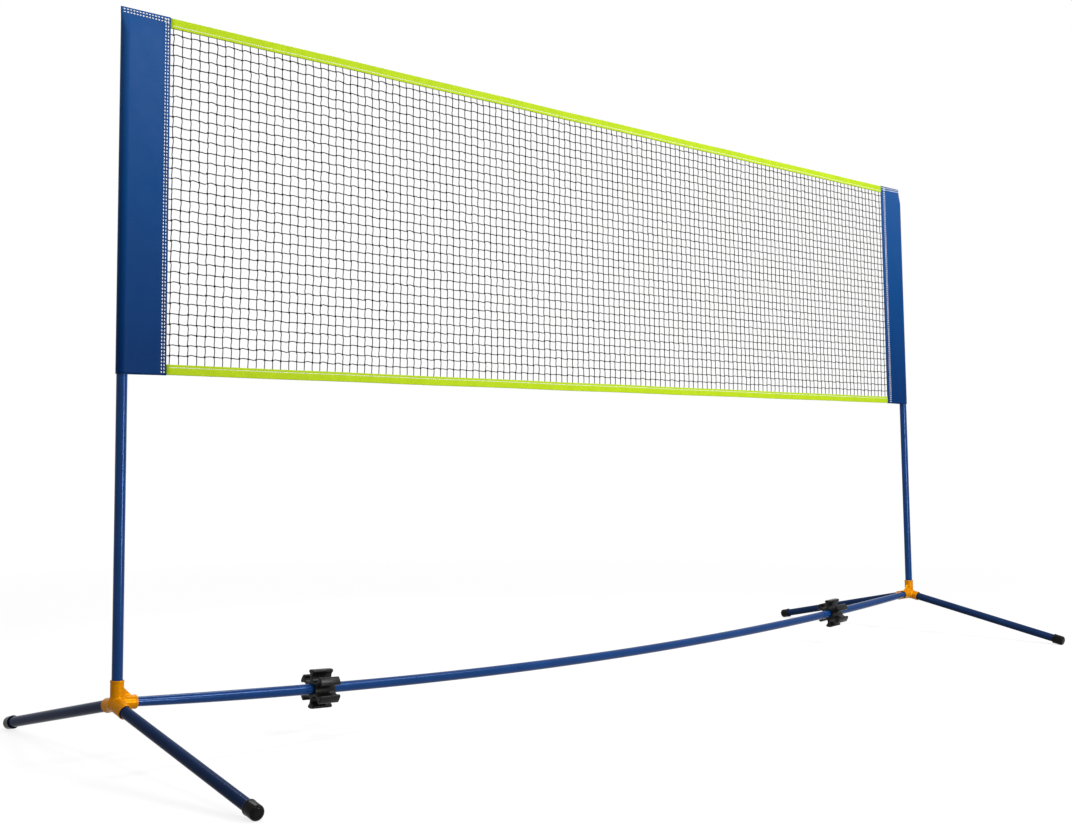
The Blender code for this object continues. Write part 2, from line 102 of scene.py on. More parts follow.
BAND_DROP = 0.001

half_spacing = POST_SPACING / 2
cap_bore = (LEG_RADIUS + FIT) / math.cos(math.pi / CAD_SIDES)
cap_radius = cap_bore + CAP_WALL
leg_length = LEG_REACH / math.cos(LEG_TILT)
foot_height = (cap_radius - CAP_EDGE_RADIUS) * math.cos(LEG_TILT)
foot_height += CAP_EDGE_RADIUS * (1 - math.sin(LEG_TILT)) - CAP_FLAT_DEPTH
junction_height = foot_height + LEG_REACH * math.tan(LEG_TILT)
bar_bow_radius = (half_spacing ** 2 + BAR_SAG ** 2) / (2 * BAR_SAG)
bar_slope = math.asin(half_spacing / bar_bow_radius)

SIDES = {"left": -1, "right": 1}
ENDS = {"front": -1, "rear": 1}


def added(name, data):
    """A new object in the scene."""
    obj = bpy.data.objects.new(name, data)
    bpy.context.scene.collection.objects.link(obj)
    return obj


# Camera, from the fit of the posts, feet and sleeve corners to the photograph
CAMERA_PLACE = (-2.7399, -2.4518, 0.6113)
CAMERA_YAW = math.radians(40.7023)
CAMERA_PITCH = math.radians(2.8681)
CAMERA_ROLL = math.radians(-0.5075)
FOCAL_PIXELS = 1314.2966
PRINCIPAL_POINT = (444.4477, 392.9698)
FRAME_WIDTH, FRAME_HEIGHT = 1072, 824
SENSOR_WIDTH = 36.0
CLIP_RANGE = (0.05, 200.0)


def add_camera():
    """The photograph's camera: near the left stand, low, with a slight shift for its crop."""
    data = bpy.data.cameras.new("camera")
    data.sensor_fit = "HORIZONTAL"
    data.sensor_width = SENSOR_WIDTH
    data.lens = FOCAL_PIXELS * SENSOR_WIDTH / FRAME_WIDTH
    data.shift_x = (FRAME_WIDTH / 2 - PRINCIPAL_POINT[0]) / FRAME_WIDTH
    data.shift_y = (PRINCIPAL_POINT[1] - FRAME_HEIGHT / 2) / FRAME_WIDTH
    data.clip_start, data.clip_end = CLIP_RANGE
    camera = added("camera", data)
    level = Vector((math.sin(CAMERA_YAW), math.cos(CAMERA_YAW), 0.0))
    ahead = level * math.cos(CAMERA_PITCH) + Vector((0.0, 0.0, math.sin(CAMERA_PITCH)))
    right = Vector((level.y, -level.x, 0.0))
    up = right.cross(ahead)
    turned_right = right * math.cos(CAMERA_ROLL) + up * math.sin(CAMERA_ROLL)
    turned_up = up * math.cos(CAMERA_ROLL) - right * math.sin(CAMERA_ROLL)
    place = Matrix((turned_right, turned_up, -ahead)).transposed().to_4x4()
    place.translation = CAMERA_PLACE
    camera.matrix_world = place
    bpy.context.scene.camera = camera


# Materials; shades are stops of a ramp, and a wave texture's scale is per ridge and metre
CLOTH_SHADES = [
    (0.10, (0.0005, 0.0270, 0.122)),
    (0.55, (0.0022, 0.0480, 0.185)),
    (0.95, (0.0120, 0.0690, 0.230)),
]
CLOTH_UNEVENNESS = 0.10
WAVE_SCALE = math.tau / 20
BLUE_SHADES = [(0.30, (0.0022, 0.036, 0.150)), (0.70, (0.0030, 0.043, 0.178))]
# The legs' blues are the posts' blue paint made darker and greyer: painted shade.
LEG_BLUES_WITH_PAINTED_SHADE = [(0.30, (0.0095, 0.026, 0.084)), (0.70, (0.0125, 0.032, 0.100))]
YELLOW_SHADES = [(0.30, (0.640, 0.232, 0.0012)), (0.70, (0.710, 0.264, 0.0016))]
PLASTIC_SHADES = [(0.30, (0.0045, 0.0045, 0.0048)), (0.70, (0.0080, 0.0080, 0.0086))]
RUBBER_SHADES = [(0.35, (0.0035, 0.0035, 0.0035)), (0.75, (0.0080, 0.0080, 0.0080))]
STEEL_SHADES = [(0.30, (0.46, 0.47, 0.49)), (0.70, (0.62, 0.63, 0.65))]
TWINE_SHADES = [(0.30, (0.007, 0.007, 0.008)), (0.70, (0.017, 0.017, 0.018))]
TAPE_SHADES = [(0.30, (0.400, 0.560, 0.0065)), (0.70, (0.450, 0.615, 0.0095))]
THREAD_SHADES = [(0.30, (0.90, 0.91, 0.93)), (0.70, (0.96, 0.96, 0.97))]
PLIES_PITCH = 0.0016
PLIES_DEPTH = 0.00018
RIB_PITCH = 0.0009
RIB_CROSS_PITCH = 0.0013
RIB_DEPTH = 0.00012
WEAVE_PITCH = 0.0011
WEAVE_DEPTH = 0.00006
THREAD_PITCH = 0.0007
THREAD_DEPTH = 0.00008


def feed(socket, value):
    """Gives a node's input a value, or links another node's output to it."""
    if isinstance(value, bpy.types.NodeSocket):
        socket.id_data.links.new(value, socket)
    else:
        socket.default_value = value


def add_node(tree, kind, **inputs):
    """A new shader node whose named inputs are fed."""
    node = tree.nodes.new("ShaderNode" + kind)
    for name, value in inputs.items():
        feed(node.inputs[name.replace("_", " ")], value)
    return node


def maths(tree, operation, first, second):
    """Output of a Math node on two outputs or numbers."""
    node = add_node(tree, "Math")
    node.operation = operation
    feed(node.inputs[0], first)
    feed(node.inputs[1], second)
    return node.outputs["Value"]


class Finish:
    """A Principled material with short calls for the patterns that the pieces share."""

    def __init__(self, name, roughness, **sockets):
        self.material = bpy.data.materials.new(name)
        self.material.use_nodes = True
        self.tree = self.material.node_tree
        self.shader = self.tree.nodes["Principled BSDF"]
        for socket, value in {"Roughness": roughness, **sockets}.items():
            feed(self.shader.inputs[socket.replace("_", " ")], value)
        self.place = add_node(self.tree, "TexCoord").outputs["Object"]
        self.normal = None

    def noise(self, size, detail=2.0, stretch=(1, 1, 1)):
        """Smooth noise whose lumps are size metres across, divided by the stretch of each axis."""
        place = add_node(self.tree, "Mapping", Vector=self.place, Scale=stretch).outputs["Vector"]
        node = add_node(self.tree, "TexNoise", Vector=place, Scale=1 / size, Detail=detail)
        return node.outputs["Fac"]

    def ridges(self, pitch, direction, distortion=0.0):
        """Even ridges a pitch apart along an axis."""
        scale = WAVE_SCALE / pitch
        node = add_node(self.tree, "TexWave", Vector=self.place, Scale=scale, Detail=0.0)
        feed(node.inputs["Distortion"], distortion)
        node.wave_type = "BANDS"
        node.bands_direction = direction
        node.wave_profile = "SIN"
        return node.outputs["Fac"]

    def woven(self, pitch_along, pitch_up):
        """Small pillows where ridges along and up the net cross."""
        along = self.ridges(pitch_along, "X")
        return maths(self.tree, "MULTIPLY", along, self.ridges(pitch_up, "Z"))

    def ramp(self, socket, factor, stops):
        """A socket takes colours or greys that are set at places from 0 to 1 along a factor."""
        node = add_node(self.tree, "ValToRGB", Fac=factor)
        elements = node.color_ramp.elements
        while len(elements) < len(stops):
            elements.new(0.5)
        for element, (at, colour) in zip(elements, stops):
            element.position = at
            element.color = (*(colour if isinstance(colour, tuple) else [colour] * 3), 1.0)
        feed(self.shader.inputs[socket], node.outputs["Color"])

    def colour(self, factor, stops):
        """The surface's colour follows a pattern."""
        self.ramp("Base Color", factor, stops)

    def roughness(self, factor, stops):
        """The surface's roughness follows a pattern."""
        self.ramp("Roughness", factor, stops)

    def bump(self, height, depth):
        """A pattern raises the surface by up to depth metres; bumps stack."""
        node = add_node(self.tree, "Bump", Strength=1.0, Distance=depth, Height=height)
        if self.normal:
            feed(node.inputs["Normal"], self.normal)
        self.normal = node.outputs["Normal"]
        feed(self.shader.inputs["Normal"], self.normal)


def paint_finish(name, shades, gloss, flake, smoothest, roughest):
    """Blue enamel on steel tube: faint orange peel, slight shade changes and rubbed streaks."""
    finish = Finish(name, smoothest, Specular_IOR_Level=gloss, Metallic=flake)
    finish.colour(finish.noise(0.060, 3.0), shades)
    streaks = finish.noise(0.010, 4.0, (1.0, 0.5, 0.5))
    finish.roughness(streaks, [(0.35, smoothest), (0.75, roughest)])
    finish.bump(finish.noise(0.0060, 1.0), 0.00002)
    return finish.material


def moulding_finish():
    """Yellow-orange injection moulded plastic with a soft gloss, flow marks and a fine grain."""
    depth = {"Subsurface_Weight": 0.06, "Subsurface_Radius": (0.004, 0.002, 0.0004)}
    finish = Finish("yellow_plastic", 0.26, Specular_IOR_Level=0.02, Metallic=0.15, **depth)
    finish.colour(finish.noise(0.018, 3.0, (1.0, 1.0, 2.5)), YELLOW_SHADES)
    finish.roughness(finish.noise(0.006, 3.0), [(0.3, 0.22), (0.7, 0.31)])
    finish.bump(finish.noise(0.0012), 0.00002)
    return finish.material


def black_plastic_finish():
    """Satin black moulded plastic with a fine spark-eroded grain and faint handling marks."""
    finish = Finish("black_plastic", 0.26, Specular_IOR_Level=0.13)
    finish.colour(finish.noise(0.020, 3.0), PLASTIC_SHADES)
    finish.roughness(finish.noise(0.008, 4.0), [(0.3, 0.22), (0.7, 0.31)])
    finish.bump(finish.noise(0.0008), 0.00005)
    return finish.material


def rubber_finish():
    """Black moulded rubber, smooth with a slight sheen and faint scuffs."""
    finish = Finish("black_rubber", 0.20, Specular_IOR_Level=0.07)
    finish.colour(finish.noise(0.008, 4.0), RUBBER_SHADES)
    finish.roughness(finish.noise(0.005, 4.0), [(0.35, 0.14), (0.70, 0.26)])
    finish.bump(finish.noise(0.0010), 0.00005)
    return finish.material


def steel_finish():
    """Bare drawn steel with fine lines along it."""
    finish = Finish("bare_steel", 0.32, Metallic=1.0)
    lines = finish.noise(0.0008, 3.0, (1.0, 1.0, 0.05))
    finish.colour(lines, STEEL_SHADES)
    finish.roughness(lines, [(0.3, 0.25), (0.7, 0.42)])
    finish.bump(lines, 0.00003)
    return finish.material


def twine_finish():
    """Dull black twisted twine: slanting plies and a slightly uneven dye."""
    finish = Finish("black_twine", 0.82, Specular_IOR_Level=0.15)
    finish.colour(finish.noise(0.012, 3.0), TWINE_SHADES)
    finish.bump(finish.ridges(PLIES_PITCH, "DIAGONAL", 0.6), PLIES_DEPTH)
    finish.bump(finish.noise(0.0004), 0.00006)
    return finish.material


def tape_finish():
    """Lime woven tape: fine ribs across it, crossed by its long threads, in an even bright dye."""
    finish = Finish("lime_tape", 0.62, Specular_IOR_Level=0.10)
    finish.colour(finish.noise(0.030, 3.0), TAPE_SHADES)
    finish.bump(finish.woven(RIB_PITCH, RIB_CROSS_PITCH), RIB_DEPTH)
    return finish.material


def cloth_finish():
    """Blue coated cloth, navy at the sleeve's foot and lighter towards its top, faintly creased."""
    finish = Finish("blue_cloth", 0.42, Specular_IOR_Level=0.05)
    height = add_node(finish.tree, "SeparateXYZ", Vector=finish.place).outputs["Z"]
    rise = maths(finish.tree, "SUBTRACT", height, NET_BOTTOM)
    share = maths(finish.tree, "DIVIDE", rise, NET_TOP - NET_BOTTOM)
    unevenness = maths(finish.tree, "MULTIPLY", finish.noise(0.090), CLOTH_UNEVENNESS)
    finish.colour(maths(finish.tree, "ADD", share, unevenness), CLOTH_SHADES)
    finish.roughness(finish.noise(0.025, 4.0), [(0.3, 0.36), (0.7, 0.48)])
    finish.bump(finish.woven(WEAVE_PITCH, WEAVE_PITCH), WEAVE_DEPTH)
    finish.bump(finish.noise(0.018, 3.0), 0.00030)
    return finish.material


def thread_finish():
    """White sewing thread."""
    finish = Finish("white_thread", 0.7, Specular_IOR_Level=0.1)
    finish.colour(finish.noise(0.004), THREAD_SHADES)
    finish.bump(finish.ridges(THREAD_PITCH, "DIAGONAL"), THREAD_DEPTH)
    return finish.material


# Meshes; a direction past the crosswise share of Y runs across the net
CROSSWISE = 0.5
SHARP_ANGLE = math.radians(50)
ROD_SIDES = 6


def piece(name, points, faces, material, body, replaces=()):
    """A smooth-shaded piece of the model, riding on a CAD body and standing for CAD nodes."""
    data = bpy.data.meshes.new(name)
    data.from_pydata(np.asarray(points).reshape(-1, 3), [], faces)
    data.shade_smooth()
    return dressed(name, data, material, body, replaces)


def dressed(name, data, material, body, replaces):
    """Makes a mesh a piece: its material, its CAD body and what it stands for."""
    data.materials.clear()
    data.materials.append(material)
    obj = added(name, data)
    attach(obj, body)
    if replaces:
        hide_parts(*replaces)
    return obj


def mesh_from(bm, name, sharp_angle):
    """Mesh of a closed bmesh, its faces turned outwards and shaded smooth up to an angle."""
    bmesh.ops.recalc_face_normals(bm, faces=bm.faces)
    data = bpy.data.meshes.new(name)
    bm.to_mesh(data)
    bm.free()
    data.shade_smooth()
    data.set_sharp_from_angle(angle=sharp_angle)
    return data


def frame_at(origin, direction):
    """Frame at a point with Z along the direction and Y level across the net where it can be."""
    along = Vector(direction).normalized()
    across = Vector((0.0, 1.0, 0.0)) if abs(along.y) < CROSSWISE else Vector((1.0, 0.0, 0.0))
    side = across.cross(along).normalized()
    matrix = Matrix((side, along.cross(side), along)).transposed().to_4x4()
    matrix.translation = Vector(origin)
    return matrix


def post_x(side, height):
    """Where a leaning post's axis is along the net at a height; heights may be an array."""
    return side * (half_spacing - (height - junction_height) * math.tan(POST_LEAN))


def post_frame(side):
    """Frame of a post, from its junction upwards."""
    lean = (-side * math.sin(POST_LEAN), 0.0, math.cos(POST_LEAN))
    return frame_at((side * half_spacing, 0.0, junction_height), lean)


def along_post(height):
    """Distance from the junction, along a leaning post, of a height above the floor."""
    return (height - junction_height) / math.cos(POST_LEAN)


def leg_frame(side, end):
    """Frame of a leg, from its junction down to the foot."""
    origin = (side * (half_spacing + LEG_OFFSET), 0.0, junction_height)
    return frame_at(origin, (0.0, end * math.cos(LEG_TILT), -math.sin(LEG_TILT)))


def bar_frame(x):
    """Frame on the bowed crossbar's axis, with Z along it towards +X."""
    drop = bar_bow_radius - math.sqrt(bar_bow_radius ** 2 - x ** 2)
    slope = math.asin(x / bar_bow_radius)
    height = junction_height + BAR_RISE - BAR_SAG + drop
    return frame_at((x, 0.0, height), (math.cos(slope), 0.0, math.sin(slope)))


def ring_faces(rows, columns, looped=False):
    """Quads of closed rings stacked in rows; looped joins the last row to the first."""
    row = np.arange(rows if looped else rows - 1)[:, None] * columns
    above = (row + columns) % (rows * columns)
    column = np.arange(columns)[None, :]
    follower = (column + 1) % columns
    quads = np.stack([row + column, row + follower, above + follower, above + column], axis=-1)
    return quads.reshape(-1, 4)


def arc(centre, radius, start, end, steps):
    """Points on an arc between two angles in radians, both ends included."""
    angles = np.linspace(start, end, steps + 1)
    return np.stack([np.cos(angles), np.sin(angles)], axis=-1) * radius + centre


def lid(start, size):
    """Faces that close a thin ring of points, whose two halves lie side by side."""
    faces = [
        (start + i, start + i + 1, start + size - 2 - i, start + size - 1 - i)
        for i in range(size // 2 - 1)
    ]
    middle = start + size // 2
    return faces + [(middle - 1, middle, middle + 1)] * (size % 2)


def rod_faces(rows):
    """Quads of a six-sided rod's rings, and two more that close each of its ends."""
    ends = [(3, 2, 1, 0), (5, 4, 3, 0)]
    last = (rows - 1) * ROD_SIDES
    ends += [tuple(last + i for i in reversed(corners)) for corners in ends]
    return np.concatenate([ring_faces(rows, ROD_SIDES), ends])


def strands(paths, plane):
    """Twine along paths of equal point counts, ringed in a plane of two axes, its ends pointed."""
    count, steps = paths.shape[:2]
    radii = np.full((count, steps), TWINE_RADIUS)
    radii[:, [0, -1]] = TWINE_RADIUS * TWINE_END
    turn = np.arange(ROD_SIDES) * math.tau / ROD_SIDES
    ring = np.cos(turn)[:, None] * plane[0] + np.sin(turn)[:, None] * plane[1]
    points = paths[:, :, None, :] + radii[..., None, None] * ring
    offsets = np.arange(count)[:, None, None] * steps * ROD_SIDES
    return points.reshape(-1, 3), (rod_faces(steps) + offsets).reshape(-1, 4)


def stamped(template, faces, origins, axes):
    """Copies of a small mesh at many origins; axes hold each copy's three scaled axes as rows."""
    points = np.einsum("vi,nij->nvj", template, axes) + origins[:, None, :]
    offsets = np.arange(len(origins))[:, None, None] * len(template)
    return points.reshape(-1, 3), (faces + offsets).reshape(-1, faces.shape[1])


# Net
TWINE_RADIUS = 0.00112
MESH_PITCH = 0.022
FIRST_ROW_DROP = 0.013
LEFT_COLUMN_GAP = 0.0075
RIGHT_COLUMN_GAP = 0.0150
COLUMN_INTERVALS = 130
SEGMENT_STEPS = 3
KNOT_SIZE = (0.0029, 0.0020, 0.0026)
KNOT_TILT = 0.45
KNOT_JITTER = 0.00030
UPRIGHT_BOW = 0.0009
CROSS_BOW = 0.0014
CROSS_SWAY = 0.0004
BEND_BACK = -0.35
BOW_SPREAD = 0.35
SWAY_SPREAD = 0.5
KNOT_TILT_SPREAD = 0.2
KNOT_SIZE_SPREAD = 0.08
TWINE_END = 0.02
BILLOW = 0.0022
# Each wave's share, its radians per metre along and up the net, and its start
BILLOW_WAVES = ((1.0, 2.3, 0.0, 0.6), (0.5, 5.1, 3.0, 0.0))
SEAM_BITE = 0.0030
NET_SEED = 7


def knot_places(random):
    """Slightly uneven knots over the net, in rows from the top down, each from left to right."""
    top_edge = NET_TOP - BAND_DROP - BAND_HEIGHT
    bottom_edge = NET_BOTTOM + BAND_DROP + BAND_HEIGHT
    first = top_edge - FIRST_ROW_DROP
    rows = int((first - bottom_edge) / MESH_PITCH) + 1
    heights = np.repeat(first - MESH_PITCH * np.arange(rows)[:, None], COLUMN_INTERVALS + 1, axis=1)
    reach = post_x(1, heights) - SLEEVE_REACH
    share = np.arange(COLUMN_INTERVALS + 1) / COLUMN_INTERVALS
    along = (LEFT_COLUMN_GAP - reach) + (2 * reach - LEFT_COLUMN_GAP - RIGHT_COLUMN_GAP) * share
    places = np.stack([along, billow(along, heights), heights], axis=-1)
    return places + random.normal(0.0, KNOT_JITTER, places.shape)


def billow(along, heights):
    """How far the slack mesh stands out from the flat plane between its taut edges."""
    fall = np.sin(math.pi * (heights - NET_BOTTOM) / (NET_TOP - NET_BOTTOM))
    wave = sum(
        share * np.sin(along * per_x + heights * per_z + start)
        for share, per_x, per_z, start in BILLOW_WAVES
    )
    return BILLOW * fall * wave


def wavy(knots, bends, across):
    """Strand paths through knots; each stretch bows and sways by its own two amounts."""
    share = np.arange(SEGMENT_STEPS) / SEGMENT_STEPS
    stretch = np.diff(knots, axis=1)
    path = knots[:, :-1, None, :] + stretch[:, :, None, :] * share[:, None]
    sway = bends[..., :1] * np.sin(math.pi * share) + bends[..., 1:] * np.sin(math.tau * share)
    path = path + sway[..., None] * across
    path = path.reshape(len(knots), -1, 3)
    return np.concatenate([path, knots[:, -1:]], axis=1)


def strand_bends(random, lines, stretches, bow, sway):
    """Bends of the stretches: bows take turns to either side, as the knots twist them."""
    turn = np.where(np.arange(stretches) % 2, 1.0, BEND_BACK)
    bows = bow * turn + random.normal(0.0, bow * BOW_SPREAD, (lines, stretches))
    sways = sway + random.normal(0.0, sway * SWAY_SPREAD, (lines, stretches))
    return np.stack([bows, sways], axis=-1)


def build_net():
    """The knotted net: upright strands, cross strands and the knots where they are tied."""
    random = np.random.default_rng(NET_SEED)
    knots = knot_places(random)
    rows, columns = knots.shape[:2]
    x_axis, y_axis, z_axis = np.eye(3)

    top_end = knots[:1] * (1, 0, 0) + (0, 0, NET_TOP - BAND_DROP - BAND_HEIGHT / 2)
    bottom_end = knots[-1:] * (1, 0, 0) + (0, 0, NET_BOTTOM + BAND_DROP + BAND_HEIGHT / 2)
    upright = np.concatenate([top_end, knots, bottom_end]).transpose(1, 0, 2)
    bends = strand_bends(random, columns, rows + 1, UPRIGHT_BOW, CROSS_SWAY)
    points, faces = strands(wavy(upright, bends, x_axis), (x_axis, y_axis))
    # These paths run downwards, so their faces are turned round.
    faces = faces[:, ::-1]
    twine = twine_finish()
    piece("net_upright_strands", points, faces, twine, "net", ["net_mesh"])

    reach = post_x(1, knots[:, :1, 2]) - SLEEVE_REACH + SEAM_BITE
    left_end = np.stack([-reach, reach * 0, knots[:, :1, 2]], axis=-1)
    right_end = np.stack([reach, reach * 0, knots[:, -1:, 2]], axis=-1)
    cross = np.concatenate([left_end, knots, right_end], axis=1)
    bends = strand_bends(random, rows, columns + 1, CROSS_BOW, CROSS_SWAY)
    points, faces = strands(wavy(cross, bends, z_axis), (y_axis, z_axis))
    piece("net_cross_strands", points, faces, twine, "net", ["net_mesh"])

    bm = bmesh.new()
    bmesh.ops.create_icosphere(bm, subdivisions=1, radius=1.0)
    template = np.array([vert.co for vert in bm.verts])
    corners = np.array([[vert.index for vert in face.verts] for face in bm.faces])
    bm.free()
    count = rows * columns
    tilts = random.normal(KNOT_TILT, KNOT_TILT_SPREAD, count)
    tilts = tilts * np.where(np.arange(count) % 2, 1, -1)
    grown = random.normal(1.0, KNOT_SIZE_SPREAD, (count, 1))
    zero = np.zeros(count)
    turned_axes = (
        (np.cos(tilts), zero, np.sin(tilts)),
        (zero, zero + 1, zero),
        (-np.sin(tilts), zero, np.cos(tilts)),
    )
    axes = [np.stack(axis, axis=-1) * size * grown for axis, size in zip(turned_axes, KNOT_SIZE)]
    axes = np.stack(axes, axis=1)
    points, faces = stamped(template, corners, knots.reshape(-1, 3), axes)
    piece("net_knots", points, faces, twine, "net", ["net_mesh"])


# Stitches
STITCH_FLATNESS = 0.7
STITCH_LIFT = 0.1
# Each ring's place along a stitch and its radius
STITCH_RINGS = ((-0.50, 0.25), (-0.36, 0.45), (0.0, 0.50), (0.36, 0.45), (0.50, 0.25))


def stitch_template():
    """One stitch of unit length along X and unit thickness, rounded down at both ends."""
    turn = np.arange(ROD_SIDES) * math.tau / ROD_SIDES
    points = np.array([
        (along, radius * math.cos(angle), radius * math.sin(angle))
        for along, radius in STITCH_RINGS
        for angle in turn
    ])
    return points, rod_faces(len(STITCH_RINGS))


def build_stitches(name, paths, outward, pitch, length, width, slot):
    """Rows of stitches along paths on cloth, each path with the direction that the cloth faces."""
    origins = []
    axes = []
    for path, out in zip(paths, outward):
        run = np.concatenate([[0.0], np.cumsum(np.linalg.norm(np.diff(path, axis=0), axis=1))])
        count = max(1, int(run[-1] / pitch))
        places = (np.arange(count) + 0.5) * run[-1] / count
        middle, ahead, behind = (
            np.stack([np.interp(places + shift, run, path[:, i]) for i in range(3)], axis=-1)
            for shift in (0.0, length / 2, -length / 2)
        )
        along = unit(ahead - behind)
        across = unit(np.cross(out, along))
        origins.append(middle)
        axes.append(np.stack([
            along * length, across * width, np.cross(along, across) * width * STITCH_FLATNESS
        ], axis=1))
    template, faces = stitch_template()
    points, faces = stamped(template, faces, np.concatenate(origins), np.concatenate(axes))
    return piece(name, points, faces, thread, "net")


def unit(vectors):
    """Vectors of length one."""
    return vectors / np.linalg.norm(vectors, axis=-1, keepdims=True)


# Tape bands
TAPE_CLOTH = 0.00045
TAPE_HALF = 0.00150
TAPE_STITCH = 0.0160
TAPE_STITCH_PITCH = 0.0050
TAPE_STITCH_LENGTH = 0.0042
TAPE_STITCH_WIDTH = 0.0013
TAPE_PINCH = 0.00030
TAPE_PINCH_REACH = 0.0012
TAPE_WAVE = 0.00035
TAPE_OUT_WAVE = 21.0
TAPE_UP_WAVE = 13.0
TAPE_UP_START = 1.0
TAPE_STATIONS = 280
TAPE_FOLD_STEPS = 10
TAPE_FLAT = (
    0.0030, 0.0060, 0.0090, 0.0120, 0.0142, 0.0152, 0.0160, 0.0168, 0.0178, 0.0200, 0.0220,
)


def tape_half(depth):
    """Half the folded tape's thickness at a depth from its fold, drawn in along the stitching."""
    return TAPE_HALF - TAPE_PINCH * math.exp(-((depth - TAPE_STITCH) / TAPE_PINCH_REACH) ** 2)


def tape_section():
    """Closed outline of the folded tape as (depth from the fold, across), outside then inside."""
    sheets = []
    for face, cloth_inside in ((1, 0.0), (-1, TAPE_CLOTH)):
        sheet = [(depth, face * (tape_half(depth) - cloth_inside)) for depth in TAPE_FLAT]
        turn = face * math.pi / 2
        fold = arc((TAPE_HALF, 0), TAPE_HALF - cloth_inside, turn, 3 * turn, TAPE_FOLD_STEPS)
        sheets += [*sheet[::-1], *fold, *((depth, -across) for depth, across in sheet)]
    return np.array(sheets)


def build_band(name, fold_height, inward):
    """Tape folded over one long edge of the net; inward is -1 where it opens downwards."""
    section = tape_section()
    share = np.linspace(-1.0, 1.0, TAPE_STATIONS)[:, None]
    heights = fold_height + inward * section[None, :, 0] + share * 0
    reach = post_x(1, heights) - SLEEVE_REACH - FIT
    along = share * reach
    points = slackened(share, np.stack([along, section[None, :, 1] + along * 0, heights], axis=-1))
    size = len(section)
    faces = ring_faces(TAPE_STATIONS, size).tolist()
    faces += lid(0, size) + lid((TAPE_STATIONS - 1) * size, size)
    band = piece(name, points, faces, tape, "net", [name.replace("_tape", "")])
    tidy_normals(band)

    stitch_height = fold_height + inward * TAPE_STITCH
    reach = post_x(1, stitch_height) - SLEEVE_REACH - TAPE_STITCH_PITCH
    share = share[:, 0]
    outward = [(0, -1, 0), (0, 1, 0)]
    paths = []
    for _, face, _ in outward:
        lift = face * (tape_half(TAPE_STITCH) + TAPE_STITCH_WIDTH * STITCH_LIFT)
        path = np.stack([share * reach, share * 0 + lift, share * 0 + stitch_height], axis=-1)
        paths.append(slackened(share, path))
    sizes = (TAPE_STITCH_PITCH, TAPE_STITCH_LENGTH, TAPE_STITCH_WIDTH)
    stitching = build_stitches(name + "_stitching", paths, outward, *sizes, "lime_tape")


def slackened(share, points):
    """Tape points moved by the slight waves that it hangs in, away from its sewn ends."""
    slack = (1 - share ** 4) * TAPE_WAVE
    along = points[..., 0]
    out = slack * np.sin(along * TAPE_OUT_WAVE)
    up = slack * np.sin(along * TAPE_UP_WAVE + TAPE_UP_START)
    return points + np.stack([along * 0, out, up], axis=-1)


def tidy_normals(obj):
    """Turns a closed piece's faces outwards."""
    bm = bmesh.new()
    bm.from_mesh(obj.data)
    bmesh.ops.recalc_face_normals(bm, faces=bm.faces)
    bm.to_mesh(obj.data)
    bm.free()


# Sleeves
SLEEVE_ROWS = 190
SEAM_HALF = 0.0009
# The seam's rounded edge: distance back from it and share of the seam's half thickness
SEAM_ROUND = ((0.0, 0.35), (0.0002, 0.8), (0.0007, 1.0))
SEAM_FLAT_START = 0.0030
SEAM_STEPS = 5
INNER_SEAM_SHARE = 0.8
PANEL_STEPS = 12
POCKET_STEPS = 10
PINCH_POWER = 1.15
WRINKLE = 0.0005
# Each crease's share, and its radians per metre up and across the sleeve
CREASES = ((0.5, 31, 46), (0.6, 13, -71), (0.35, 74, 25))
CREASE_FACE_LAG = 1.7
CREASE_SIDE_LAG = 0.9
CREASE_POST_EASE = 0.030
CREASE_SEAM_EASE = 0.020
CREASE_TOP_EASE = 0.060
HEM = 0.0145
HEM_STEP = 0.00035
HEM_EASE = 0.0012
SEAM_STITCH_ROWS = {"left": (0.0060, 0.0120), "right": (0.0165, 0.0225)}
SEAM_MARGIN = 0.002
SLEEVE_STITCH_PITCH = 0.0072
SLEEVE_STITCH_LENGTH = 0.0042
SLEEVE_STITCH_WIDTH = 0.0027
SLEEVE_STITCH_POINTS = 120
SLEEVE_STITCH_MARGIN = 0.003
SLEEVE_FOLD = POST_TOP + 0.004
TOP_STITCH_ROWS = (0.0050, 0.0115)


def sleeve_profile(radius, seam_half, edge, seam):
    """Half of the sleeve's outline from its seam to the far side of the post, (inward, across)."""
    corner = (SLEEVE_REACH - seam, seam_half)
    tangent = math.asin((radius - seam_half) / corner[0])
    touch = (radius * math.sin(tangent), radius * math.cos(tangent))
    flat_start = (edge - SEAM_FLAT_START, seam_half)
    pocket = arc((0, 0), radius, math.pi / 2 - tangent, math.pi, POCKET_STEPS)
    return np.concatenate([
        [(edge - back, seam_half * share) for back, share in SEAM_ROUND],
        np.linspace(flat_start, corner, SEAM_STEPS, endpoint=False),
        np.linspace(corner, touch, PANEL_STEPS, endpoint=False),
        [touch, *pocket[1:-1], (-radius, 0.0)],
    ])


